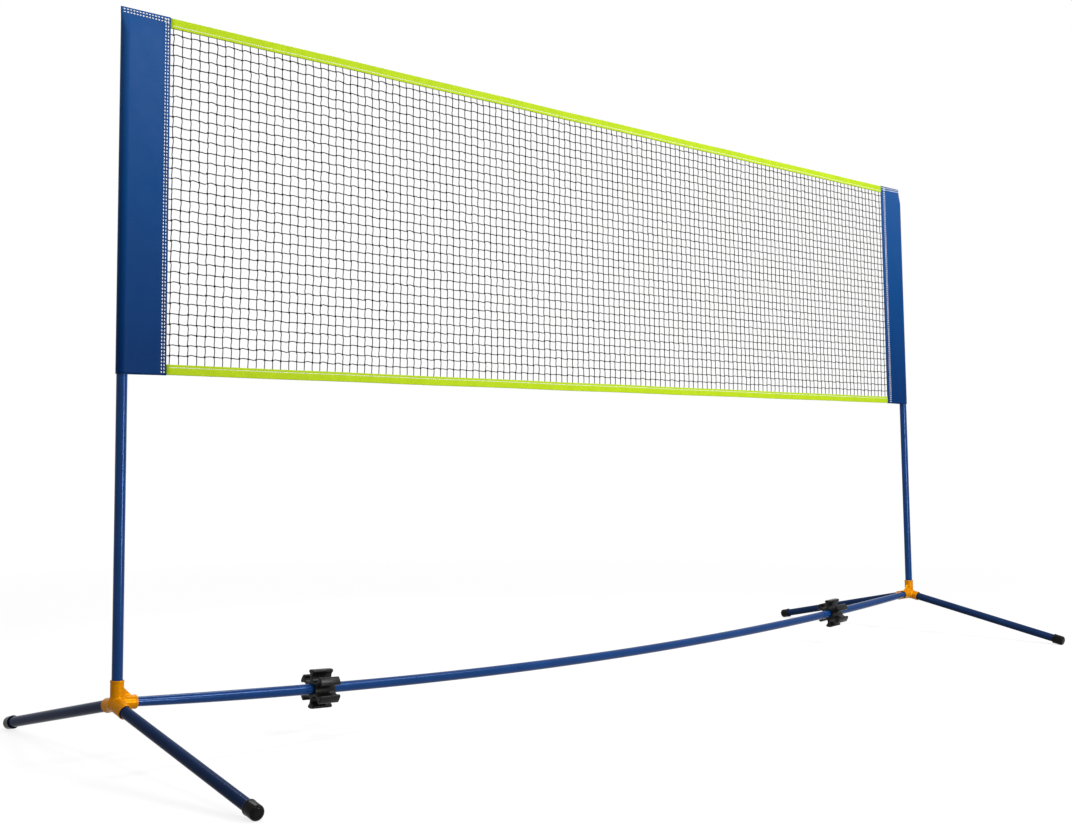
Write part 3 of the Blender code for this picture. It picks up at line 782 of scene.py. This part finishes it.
def sleeve_surface(side, radius, seam_half, edge, heights):
    """Rings of the sleeve at the given heights: round at the post, pinched flat above its plug."""
    seam = max(SEAM_STITCH_ROWS["left" if side < 0 else "right"]) + SEAM_MARGIN
    profile = sleeve_profile(radius, seam_half, edge, seam)
    inward = np.concatenate([profile[:, 0], profile[-2::-1, 0]])
    across = np.concatenate([-profile[:, 1], profile[-2::-1, 1]])
    face = np.sign(across)

    # The pinch eases in above the post's top, so that the cloth lies over the plug in a curve.
    rise = np.clip((heights - SLEEVE_FOLD) / (NET_TOP - SLEEVE_FOLD), 0, 1)[:, None]
    opened = np.maximum(np.abs(across) - seam_half, 0) * (1 - rise ** PINCH_POWER)
    depth = np.minimum(np.abs(across), seam_half) + opened
    spread = 1 + (SLEEVE_TOP_OVERHANG / radius - 1) * rise
    placed = np.where(inward < 0, inward * spread, inward + rise * 0)

    # Soft creases between the post and the seam, and the doubled hems at the top and the seam.
    z = heights[:, None]
    panel = np.clip((placed - radius) / CREASE_POST_EASE, 0, 1)
    panel = panel * np.clip((SLEEVE_REACH - seam - placed) / CREASE_SEAM_EASE, 0, 1)
    fade = np.clip((NET_TOP - HEM - z) / CREASE_TOP_EASE, 0, 1)
    lag = CREASE_FACE_LAG * face + CREASE_SIDE_LAG * side
    crease = sum(
        size * np.sin(z * up + placed * along + i * lag)
        for i, (size, up, along) in enumerate(CREASES, 1)
    )
    hem = np.clip((z - (NET_TOP - HEM)) / HEM_EASE, 0, 1)
    hem = hem + np.clip((placed - (SLEEVE_REACH - HEM)) / HEM_EASE, 0, 1)
    depth = depth + WRINKLE * crease * panel * fade + HEM_STEP * np.minimum(hem, 1)
    return np.stack([post_x(side, z) - side * placed, face * depth, z + placed * 0], axis=-1)


def on_sleeve(side, face, radius, inwards, heights):
    """Points on the outside of a sleeve, at distances from its post's axis towards the net."""
    rings = sleeve_surface(side, radius, SEAM_HALF, SLEEVE_REACH, heights)
    middles = post_x(side, heights)
    lift = SLEEVE_STITCH_WIDTH * STITCH_LIFT
    points = []
    for ring, middle, inward, height in zip(rings, middles, inwards, heights):
        half = ring[ring[:, 1] * face >= 0]
        reach = side * (middle - half[:, 0])
        order = np.argsort(reach)
        depth = np.interp(inward, reach[order], np.abs(half[order, 1]))
        points.append((middle - side * inward, face * (depth + lift), height))
    return np.array(points)


def build_sleeve(label):
    """Cloth sleeve over a post: one sheet folded round it, sewn at the net and along the top."""
    side = SIDES[label]
    name = label + "_sleeve_cloth"
    radius = (POST_RADIUS + SLEEVE_EASE) / math.cos(math.pi / CAD_SIDES) + SLEEVE_CLOTH
    heights = np.linspace(NET_BOTTOM, NET_TOP, SLEEVE_ROWS)
    inner_heights = np.minimum(heights, NET_TOP - SLEEVE_CLOTH)
    outer = sleeve_surface(side, radius, SEAM_HALF, SLEEVE_REACH, heights)
    inner_seam = SEAM_HALF - SLEEVE_CLOTH * INNER_SEAM_SHARE
    inner_edge = SLEEVE_REACH - SLEEVE_CLOTH
    inner = sleeve_surface(side, radius - SLEEVE_CLOTH, inner_seam, inner_edge, inner_heights)
    rows, columns = outer.shape[:2]
    total = rows * columns
    shell = ring_faces(rows, columns)
    faces = shell.tolist() + (shell[:, ::-1] + total).tolist()
    for i in range(columns):
        follower = (i + 1) % columns
        faces.append((i, total + i, total + follower, follower))
    faces += lid(total - columns, columns) + lid(2 * total - columns, columns)
    points = np.concatenate([outer.reshape(-1, 3), inner.reshape(-1, 3)])
    sleeve = piece(name, points, faces, cloth, "net", [label + "_sleeve"])
    tidy_normals(sleeve)

    margin = SLEEVE_STITCH_MARGIN
    heights = np.linspace(NET_BOTTOM + margin, NET_TOP - margin, SLEEVE_STITCH_POINTS)
    inwards = np.linspace(margin - SLEEVE_TOP_OVERHANG, SLEEVE_REACH - margin, SLEEVE_STITCH_POINTS)
    paths = []
    outward = []
    for face in (-1, 1):
        rows = [(heights * 0 + SLEEVE_REACH - inset, heights) for inset in SEAM_STITCH_ROWS[label]]
        rows += [(inwards, inwards * 0 + NET_TOP - drop) for drop in TOP_STITCH_ROWS]
        for inward, height in rows:
            paths.append(on_sleeve(side, face, radius, inward, height))
            outward.append((0, face, 0))
    sizes = (SLEEVE_STITCH_PITCH, SLEEVE_STITCH_LENGTH, SLEEVE_STITCH_WIDTH)
    stitching = build_stitches(label + "_sleeve_stitching", paths, outward, *sizes, "blue_cloth")


# Solids from distance fields
GRID_STEP = 0.0010
GRID_MARGIN = 3 * GRID_STEP
NORMAL_STEP = 0.00005
LEAST_SLOPE = 0.25
PULLS = 2
OTHER_AXES = ([1, 2], [0, 2], [0, 1])


def rounded(first, second, edge):
    """Distance to the room where two distances are inside, its outer corners rounded."""
    outside = np.hypot(np.maximum(first, 0), np.maximum(second, 0))
    return np.minimum(np.maximum(first, second), 0) + outside - edge


def rounded_cylinder(points, place, low, high, radius, edge):
    """Distance to a cylinder along a frame's Z axis between two heights, its edges rounded."""
    turn = np.array(place.to_3x3())
    local = (points - np.array(place.translation)) @ turn
    radial = np.hypot(local[..., 0], local[..., 1]) - radius + edge
    axial = np.abs(local[..., 2] - (low + high) / 2) - (high - low) / 2 + edge
    return rounded(radial, axial, edge)


def smooth_union(first, second, blend):
    """Both solids, with a fillet of about the blend size where they meet."""
    near = np.maximum(blend - np.abs(first - second), 0) / blend
    return np.minimum(first, second) - near * near * blend / 4


def surface_net(field, low, high):
    """Points and quads of the surface where a distance field is nought, pulled onto the surface."""
    counts = np.ceil((high - low) / GRID_STEP).astype(int) + 1
    axes = [low[i] + GRID_STEP * np.arange(counts[i]) for i in range(3)]
    value = field(np.stack(np.meshgrid(*axes, indexing="ij"), axis=-1))
    inside = value < 0
    cells = counts - 1
    total = np.zeros((*cells, 3))
    crossings = np.zeros(cells, int)
    edges = []
    for axis, others in enumerate(OTHER_AXES):
        first = np.moveaxis(value, axis, 0)[:-1]
        second = np.moveaxis(value, axis, 0)[1:]
        crossed = (first < 0) != (second < 0)
        share = np.where(crossed, first / np.where(crossed, first - second, 1), 0)
        crossed = np.moveaxis(crossed, 0, axis)
        share = np.moveaxis(share, 0, axis)
        edges.append(crossed)
        for shift in np.ndindex(2, 2):
            window = [slice(None)] * 3
            for other, start in zip(others, shift):
                window[other] = slice(start, start + cells[other])
            hit = crossed[tuple(window)]
            offset = np.zeros((*cells, 3))
            offset[..., axis] = share[tuple(window)]
            offset[..., others] = shift
            total += offset * hit[..., None]
            crossings += hit
    used = crossings > 0
    index = np.full(cells, -1)
    index[used] = np.arange(used.sum())
    corner = np.stack(np.nonzero(used), axis=-1)
    points = low + GRID_STEP * (corner + total[used] / crossings[used][:, None])

    quads = []
    for axis, (crossed, others) in enumerate(zip(edges, OTHER_AXES)):
        at = np.stack(np.nonzero(crossed), axis=-1)
        at = at[np.all((at[:, others] > 0) & (at[:, others] < cells[others]), axis=1)]
        corners = []
        for shift in ((1, 1), (0, 1), (0, 0), (1, 0)):
            cell = at.copy()
            cell[:, others] -= shift
            corners.append(index[tuple(cell.T)])
        quad = np.stack(corners, axis=-1)
        flip = inside[tuple(at.T)] == (axis == 1)
        quad[flip] = quad[flip][:, ::-1]
        quads.append(quad)
    for _ in range(PULLS):
        points = pulled(field, points)
    return points, np.concatenate(quads)


def pulled(field, points):
    """Points moved once towards the surface along the field's slope."""
    steps = NORMAL_STEP * np.eye(3)
    slope = np.stack([field(points + step) - field(points - step) for step in steps], axis=-1)
    slope = slope / (2 * NORMAL_STEP)
    size = np.maximum((slope ** 2).sum(axis=-1, keepdims=True), LEAST_SLOPE)
    move = field(points)[:, None] * slope / size
    return points - np.clip(move, -GRID_STEP / 2, GRID_STEP / 2)


# Tubes and what plugs into them
TURN_SIDES = 48
LIP = 0.0004
LIP_STEPS = 4
LIP_SUPPORT = 0.0012
BAR_STATIONS = 25
PLUG_STEPS = 6
POINT_RADIUS = 0.0002


def turned(rings):
    """Points of rings round frames' Z axes; each ring is its frame, height and radius."""
    turn = np.arange(TURN_SIDES) * math.tau / TURN_SIDES
    circles = []
    for place, height, radius in rings:
        local = np.stack([radius * np.cos(turn), radius * np.sin(turn), turn * 0 + height], axis=-1)
        matrix = np.array(place)
        circles.append(local @ matrix[:3, :3].T + matrix[:3, 3])
    return np.concatenate(circles)


def tube_end(station, wall, outward):
    """Rings round a tube's deburred end, from its outside to its bore."""
    place, height, radius = station
    rounds = [(LIP_SUPPORT, 0.0)]
    for i in range(LIP_STEPS + 1):
        angle = math.pi * i / LIP_STEPS
        rounds.append((LIP * (1 - math.sin(angle)), wall / 2 * (1 - math.cos(angle))))
    rounds.append((LIP_SUPPORT, wall))
    return [(place, height - outward * back, radius - inward) for back, inward in rounds]


def build_tube(node, stations, material, body):
    """Round tube through stations, each its frame, height and outer radius."""
    rings = tube_end(stations[0], TUBE_WALL, -1)[::-1]
    rings += stations[1:-1]
    rings += tube_end(stations[-1], TUBE_WALL, 1)
    rings += [(place, height, radius - TUBE_WALL) for place, height, radius in stations[-2:0:-1]]
    faces = ring_faces(len(rings), TURN_SIDES, looped=True)
    tube = piece(node + "_finished", turned(rings), faces, material, body, [node])
    tidy_normals(tube)


def bar_radius_at(x):
    """The crossbar's radius, which thins smoothly towards its two sockets."""
    from_socket = half_spacing - BAR_SOCKET_REACH - abs(x)
    left = max(0.0, min(1.0, 1.0 - from_socket / BAR_TAPER_LENGTH))
    return BAR_RADIUS - (BAR_RADIUS - BAR_END_RADIUS) * left ** 2


def build_crossbar():
    """Four plug-together sections and the spigots in their joints."""
    socket_x = half_spacing - (SOCKET_BOTTOM + FIT) * math.cos(bar_slope)
    stops = [-socket_x, -BAR_JOINT_OFFSET, 0.0, BAR_JOINT_OFFSET, socket_x]
    names = ("left_outer", "left_inner", "right_inner", "right_outer")
    for name, start, end in zip(names, stops, stops[1:]):
        low = start if start == stops[0] else start + FIT / 2
        high = end if end == stops[-1] else end - FIT / 2
        places = np.linspace(low, high, BAR_STATIONS)
        stations = [(bar_frame(x), 0.0, bar_radius_at(x)) for x in places]
        build_tube(name + "_crossbar_tube", stations, bar_paint, "base")
    radius = (BAR_RADIUS - TUBE_WALL) * math.cos(math.pi / CAD_BAR_SIDES) - FIT
    half = BAR_SPIGOT_LENGTH / 2
    for name, x in zip(("left", "middle", "right"), stops[1:-1]):
        stations = [(bar_frame(x), height, radius) for height in (-half, half)]
        build_tube(name + "_crossbar_spigot", stations, steel, "base")


def build_post(label):
    """Lower and upper post tube, the spigot that joins them and the plug in the top end."""
    place = post_frame(SIDES[label])
    joint = along_post(NET_BOTTOM + POST_JOINT_RISE)
    top = along_post(POST_TOP) - PLUG_HEAD
    upper_body = label + "_post_top"
    lower = [(place, height, POST_RADIUS) for height in (SOCKET_BOTTOM + FIT, joint - FIT / 2)]
    build_tube(label + "_lower_post", lower, post_paint, "base")
    upper = [(place, height, POST_RADIUS) for height in (joint + FIT / 2, top - FIT)]
    build_tube(label + "_upper_post", upper, post_paint, upper_body)
    radius = (POST_RADIUS - TUBE_WALL) * math.cos(math.pi / CAD_SIDES) - FIT
    half = POST_SPIGOT_LENGTH / 2
    spigot = [(place, height, radius) for height in (joint - half, joint + half)]
    build_tube(label + "_post_spigot", spigot, steel, upper_body)

    crown = arc((POST_RADIUS - PLUG_HEAD, top), PLUG_HEAD, math.pi / 2, 0.0, PLUG_STEPS)
    profile = [(POINT_RADIUS, top + PLUG_HEAD), *crown, (radius, top)]
    profile += [(radius, top - PLUG_DEPTH), (POINT_RADIUS, top - PLUG_DEPTH)]
    rings = [(place, height, out) for out, height in profile]
    last = (len(rings) - 1) * TURN_SIDES
    faces = ring_faces(len(rings), TURN_SIDES).tolist()
    faces += [list(range(start, start + TURN_SIDES)) for start in (0, last)]
    node = label + "_post_top_plug"
    name = node + "_finished"
    plug = piece(name, turned(rings), faces, black_plastic, upper_body, [node])
    tidy_normals(plug)
    plug.data.set_sharp_from_angle(angle=SHARP_ANGLE)


def build_leg(label, end_label):
    """Leg tube from its socket's bottom to its cap's end wall."""
    place = leg_frame(SIDES[label], ENDS[end_label])
    name = f"{label}_{end_label}_leg"
    heights = (SOCKET_BOTTOM + FIT, leg_length - CAP_END_WALL - FIT)
    stations = [(place, height, LEG_RADIUS) for height in heights]
    build_tube(name, stations, leg_paint, name + "_body")


# Base connectors
CONNECTOR_BLEND = 0.0045
SOCKET_EDGE = 0.0006
SOCKET_RIM = 0.0005
SOCKET_RIM_LENGTH = 0.004
SOCKET_START = -0.002
BORE_OVERRUN = 0.02
WEB_EDGE = 0.0012
WEB_BLEND = 0.0030


def web_field(points, side, post_wall, bar_wall):
    """Distance to the gusset plate between the post socket and the crossbar socket."""
    inward = half_spacing - side * points[..., 0]
    up = points[..., 2] - junction_height
    corner = post_wall + WEB_REACH
    slant = (inward + up - (corner + bar_wall)) / math.sqrt(2)
    sides = [slant, inward - corner, up - (bar_wall + WEB_REACH), -inward, -up]
    thick = np.abs(points[..., 1]) - WEB_THICKNESS / 2 + WEB_EDGE
    return rounded(np.maximum.reduce(sides) + WEB_EDGE, thick, WEB_EDGE)


def build_connector(label):
    """Four-way moulding whose sockets flow into each other, with bores and a gusset."""
    side = SIDES[label]
    bore = 1 / math.cos(math.pi / CAD_SIDES)
    post_bore = (POST_RADIUS + FIT) * bore
    leg_bore = (LEG_RADIUS + FIT) * bore
    bar_bore = (BAR_END_RADIUS + FIT) * bore
    inward_bar = bar_frame(side * half_spacing)
    along = -side * inward_bar.to_3x3().col[2]
    crossbar = frame_at(inward_bar.translation, along)
    sockets = [
        (post_frame(side), POST_SOCKET_REACH, post_bore, SOCKET_WALL),
        (crossbar, BAR_SOCKET_REACH, bar_bore, BAR_SOCKET_WALL),
    ]
    for end in ENDS.values():
        reach = LONG_LEG_SOCKET_REACH if side == end else SHORT_LEG_SOCKET_REACH
        sockets.append((leg_frame(side, end), reach, leg_bore, SOCKET_WALL))

    def field(points):
        solid = None
        for place, reach, radius, wall in sockets:
            outer = radius + wall
            tube = rounded_cylinder(points, place, SOCKET_START, reach, outer, SOCKET_EDGE)
            rim_start = reach - SOCKET_RIM_LENGTH
            rim = rounded_cylinder(points, place, rim_start, reach, outer + SOCKET_RIM, SOCKET_EDGE)
            tube = smooth_union(tube, rim, SOCKET_EDGE)
            solid = tube if solid is None else smooth_union(solid, tube, CONNECTOR_BLEND)
        web = web_field(points, side, post_bore + SOCKET_WALL, bar_bore + BAR_SOCKET_WALL)
        solid = smooth_union(solid, web, WEB_BLEND)
        for place, reach, radius, wall in sockets:
            mouth = reach + BORE_OVERRUN
            hollow = rounded_cylinder(points, place, SOCKET_BOTTOM, mouth, radius, 0.0)
            solid = np.maximum(solid, -hollow)
        return solid

    node = label + "_base_connector"
    low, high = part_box(node)
    points, faces = surface_net(field, np.array(low) - GRID_MARGIN, np.array(high) + GRID_MARGIN)
    name = label + "_connector_moulding"
    piece(name, points, faces, moulding, "base", [node])


# Foot caps
CAP_EDGE_STEPS = 8
CAP_LIP = 0.0005
# Steps of the cap's mouth: out from its side and up from its rim
CAP_MOUTH = ((0.0, 0.0045), (0.0, 0.0040), (CAP_LIP, 0.0034), (CAP_LIP, 0.0007), (0.0, 0.0001))
CAP_MOUTH_EASE = 0.0006
CAP_BORE_EASE = 0.0004


def build_cap(label, end_label):
    """Rubber cap on a leg's end: rounded, with a slight lip at its mouth, flat on the floor."""
    place = leg_frame(SIDES[label], ENDS[end_label])
    mouth = leg_length - CAP_LENGTH
    rounding = (cap_radius - CAP_EDGE_RADIUS, leg_length - CAP_EDGE_RADIUS)
    edge = arc(rounding, CAP_EDGE_RADIUS, math.pi / 2, 0.0, CAP_EDGE_STEPS)
    profile = [(POINT_RADIUS, leg_length), *edge]
    profile += [(cap_radius + out, mouth + up) for out, up in CAP_MOUTH]
    profile += [(cap_radius - CAP_MOUTH_EASE, mouth), (cap_bore + CAP_BORE_EASE, mouth)]
    profile += [(cap_bore, mouth + CAP_BORE_EASE)]
    profile += [(radius, leg_length - CAP_END_WALL) for radius in (cap_bore, POINT_RADIUS)]
    bm = bmesh.new()
    rings = [(place, height, radius) for radius, height in profile]
    verts = [bm.verts.new(point) for point in turned(rings)]
    for quad in ring_faces(len(profile), TURN_SIDES):
        bm.faces.new([verts[i] for i in quad])
    for start in (0, len(verts) - TURN_SIDES):
        bm.faces.new(verts[start:start + TURN_SIDES])
    everything = bm.verts[:] + bm.edges[:] + bm.faces[:]
    floor = {"plane_co": (0, 0, 0), "plane_no": (0, 0, 1)}
    cut = bmesh.ops.bisect_plane(bm, geom=everything, clear_inner=True, **floor)
    rim = [item for item in cut["geom_cut"] if isinstance(item, bmesh.types.BMEdge)]
    bmesh.ops.edgeloop_fill(bm, edges=rim)
    name = f"{label}_{end_label}_foot"
    data = mesh_from(bm, name, SHARP_ANGLE)
    body = f"{label}_{end_label}_leg_body"
    dressed(name + "_rubber", data, rubber, body, [name + "_cap"])


# Storage clips
CLIP_END_ROUND = 0.0020
CLIP_ROUND_STEPS = 5
CLIP_ARC_STEPS = 20
CLIP_CORNER_STEPS = 8
CLIP_TIP_STEPS = 6
CLIP_BORE_SIDES = 48
CLIP_BORE_BEVEL = 0.0005
CLIP_SHARP_ANGLE = math.radians(40)


def clip_outline(bore_radius, inset):
    """The star outline drawn in by an inset: notches, rounded arm corners and arm tips."""
    notch_radius = POST_RADIUS + CLIP_NOTCH_CLEARANCE
    notch_centre = bore_radius + CLIP_HUB_WALL + notch_radius
    tip_radius = notch_centre + CLIP_GRIP
    far = tip_radius - CLIP_CORNER_RADIUS
    near = notch_radius + CLIP_CORNER_RADIUS
    corner_x = (notch_centre ** 2 + far ** 2 - near ** 2) / (2 * notch_centre)
    corner_y = math.sqrt(far ** 2 - corner_x ** 2)
    corner = math.atan2(corner_y, corner_x)
    notch = math.atan2(corner_y, corner_x - notch_centre)
    fillet = CLIP_CORNER_RADIUS - inset
    pitch = math.tau / CLIP_NOTCHES
    first = arc((notch_centre, 0), notch_radius + inset, math.tau - notch, notch, CLIP_ARC_STEPS)
    rising = arc((corner_x, corner_y), fillet, notch - math.pi, corner, CLIP_CORNER_STEPS)[1:]
    tip = arc((0, 0), tip_radius - inset, corner, pitch - corner, CLIP_TIP_STEPS)[1:]
    falling = arc((corner_x, -corner_y), fillet, -corner, math.pi - notch, CLIP_CORNER_STEPS)[1:-1]
    falling = falling @ spin(pitch).T
    turn = np.concatenate([first, rising, tip, falling])
    return np.concatenate([turn @ spin(CLIP_TURN + pitch * i).T for i in range(CLIP_NOTCHES)])


def spin(angle):
    """Turns flat points by an angle."""
    return np.array([[math.cos(angle), -math.sin(angle)], [math.sin(angle), math.cos(angle)]])


def mirrored(layers):
    """Layers above the middle, each with its height first, and their images below it."""
    return [(-height, inset) for height, inset in layers[::-1]] + layers


def build_clip(label):
    """Star-shaped storage clip with softly rounded ends, a bore and six open notches."""
    bore_radius = (BAR_RADIUS + CLIP_CLEARANCE) / math.cos(math.pi / CAD_SIDES)
    bm = bmesh.new()
    half = CLIP_LENGTH / 2
    rounding = (half - CLIP_END_ROUND, CLIP_END_ROUND)
    layers = list(arc(rounding, CLIP_END_ROUND, -math.pi / 2, 0.0, CLIP_ROUND_STEPS))
    outer = []
    for height, inset in mirrored(layers):
        outer.append([bm.verts.new((*point, height)) for point in clip_outline(bore_radius, inset)])
    turn = arc((0, 0), 1.0, 0, math.tau, CLIP_BORE_SIDES)[:-1]
    inner = []
    for height, grow in mirrored([(half - CLIP_BORE_BEVEL, 0.0), (half, CLIP_BORE_BEVEL)]):
        inner.append([bm.verts.new((*(point * (bore_radius + grow)), height)) for point in turn])
    for rings in (outer, inner):
        for lower, upper in zip(rings, rings[1:]):
            for i, vert in enumerate(lower):
                follower = (i + 1) % len(lower)
                bm.faces.new((vert, lower[follower], upper[follower], upper[i]))
    for k in (0, -1):
        rim = []
        for ring in (outer[k], inner[k]):
            rim += [bm.edges.get((ring[i - 1], ring[i])) for i in range(len(ring))]
        bmesh.ops.triangle_fill(bm, edges=rim, use_beauty=True)
    name = label + "_clip_moulding"
    data = mesh_from(bm, name, CLIP_SHARP_ANGLE)
    data.transform(bar_frame(CLIP_PLACES[label]))
    dressed(name, data, black_plastic, label + "_clip", [label + "_storage_clip"])


# Light and floor
LAMPS = {
    "key": {"place": (1.35, -3.0, 3.0), "size": (1.5, 0.9), "power": 78.0},
    "front": {"place": (0.15, -3.6, 0.55), "size": (0.8, 1.0), "power": 66.0},
    "right": {"place": (1.9, -1.4, 3.0), "size": (0.8, 0.8), "power": 16.0},
    "left": {"place": (-1.9, -1.3, 3.0), "size": (0.8, 0.8), "power": 23.0},
    "back": {"place": (0.2, 1.9, 3.5), "size": (2.6, 0.8), "power": 62.0},
}
AIM = (0.0, 0.0, 0.7)
AMBIENT = 0.26
WHITE = (1.0, 1.0, 1.0, 1.0)
FLOOR_HALF = 60.0
FLOOR_COLOUR = (0.25, 0.25, 0.25, 1.0)
FLOOR_ROUGHNESS = 0.9
FLOOR_GLOW = 0.80
FLOOR_FADE_START = 2.5
FLOOR_FADE_END = 7.0


def add_lamp(name, place, size, power):
    """A soft rectangular studio lamp aimed at the middle of the net."""
    data = bpy.data.lights.new(name, "AREA")
    data.shape = "RECTANGLE"
    data.size, data.size_y = size
    data.energy = power
    lamp = added(name, data)
    lamp.location = place
    lamp.rotation_euler = (Vector(AIM) - Vector(place)).to_track_quat("-Z", "Y").to_euler()


def seen_rays(tree):
    """1 for rays from the camera, or from gloss and glass, that look at the background; else 0."""
    rays = add_node(tree, "LightPath").outputs
    either = maths(tree, "MAXIMUM", rays["Is Camera Ray"], rays["Is Glossy Ray"])
    return maths(tree, "MAXIMUM", either, rays["Is Transmission Ray"])


def add_world():
    """White where it is looked at, and a level pale light for everything else."""
    world = bpy.data.worlds.new("studio")
    bpy.context.scene.world = world
    world.use_nodes = True
    tree = world.node_tree
    level = add_node(tree, "MapRange", Value=seen_rays(tree), To_Min=AMBIENT, To_Max=1.0)
    background = tree.nodes["Background"]
    feed(background.inputs["Color"], WHITE)
    feed(background.inputs["Strength"], level.outputs["Result"])


def add_floor():
    """Plain floor that keeps the object's shadow and fades to the white of the background."""
    finish = Finish("floor", FLOOR_ROUGHNESS, Base_Color=FLOOR_COLOUR, Specular_IOR_Level=0.0)
    tree = finish.tree
    distance = add_node(tree, "VectorMath")
    distance.operation = "LENGTH"
    feed(distance.inputs[0], finish.place)
    away = distance.outputs["Value"]
    fade = add_node(tree, "MapRange", Value=away, To_Min=FLOOR_GLOW, To_Max=1.0)
    feed(fade.inputs["From Min"], FLOOR_FADE_START)
    feed(fade.inputs["From Max"], FLOOR_FADE_END)
    strength = maths(tree, "MULTIPLY", seen_rays(tree), fade.outputs["Result"])
    glow = add_node(tree, "Emission", Color=WHITE, Strength=strength)
    both = add_node(tree, "AddShader")
    feed(both.inputs[0], finish.shader.outputs["BSDF"])
    feed(both.inputs[1], glow.outputs["Emission"])
    feed(tree.nodes["Material Output"].inputs["Surface"], both.outputs["Shader"])

    corners = np.array([(-1, -1, 0), (1, -1, 0), (1, 1, 0), (-1, 1, 0)])
    data = bpy.data.meshes.new("floor")
    data.from_pydata(corners * FLOOR_HALF, [], [(0, 1, 2, 3)])
    data.materials.append(finish.material)
    added("floor", data)


add_camera()

post_paint = paint_finish("blue_post_paint", BLUE_SHADES, 0.13, 0.14, 0.14, 0.21)
bar_paint = paint_finish("blue_bar_paint", BLUE_SHADES, 0.13, 0.14, 0.12, 0.18)
# The legs wear the same blue enamel, its colour darkened as painted shade.
leg_paint = paint_finish("blue_leg_paint", LEG_BLUES_WITH_PAINTED_SHADE, 0.02, 0.0, 0.12, 0.20)
moulding = moulding_finish()
black_plastic = black_plastic_finish()
rubber = rubber_finish()
steel = steel_finish()
tape = tape_finish()
cloth = cloth_finish()
thread = thread_finish()

build_net()
build_band("top_tape_band", NET_TOP - BAND_DROP, -1)
build_band("bottom_tape_band", NET_BOTTOM + BAND_DROP, 1)
build_crossbar()
for stand in SIDES:
    build_post(stand)
    build_sleeve(stand)
    build_connector(stand)
    build_clip(stand)
    for leg_end in ENDS:
        build_leg(stand, leg_end)
        build_cap(stand, leg_end)

add_floor()
add_world()
for lamp_name, settings in LAMPS.items():
    add_lamp(lamp_name, **settings)
bpy.context.scene.view_settings.view_transform = "Standard"
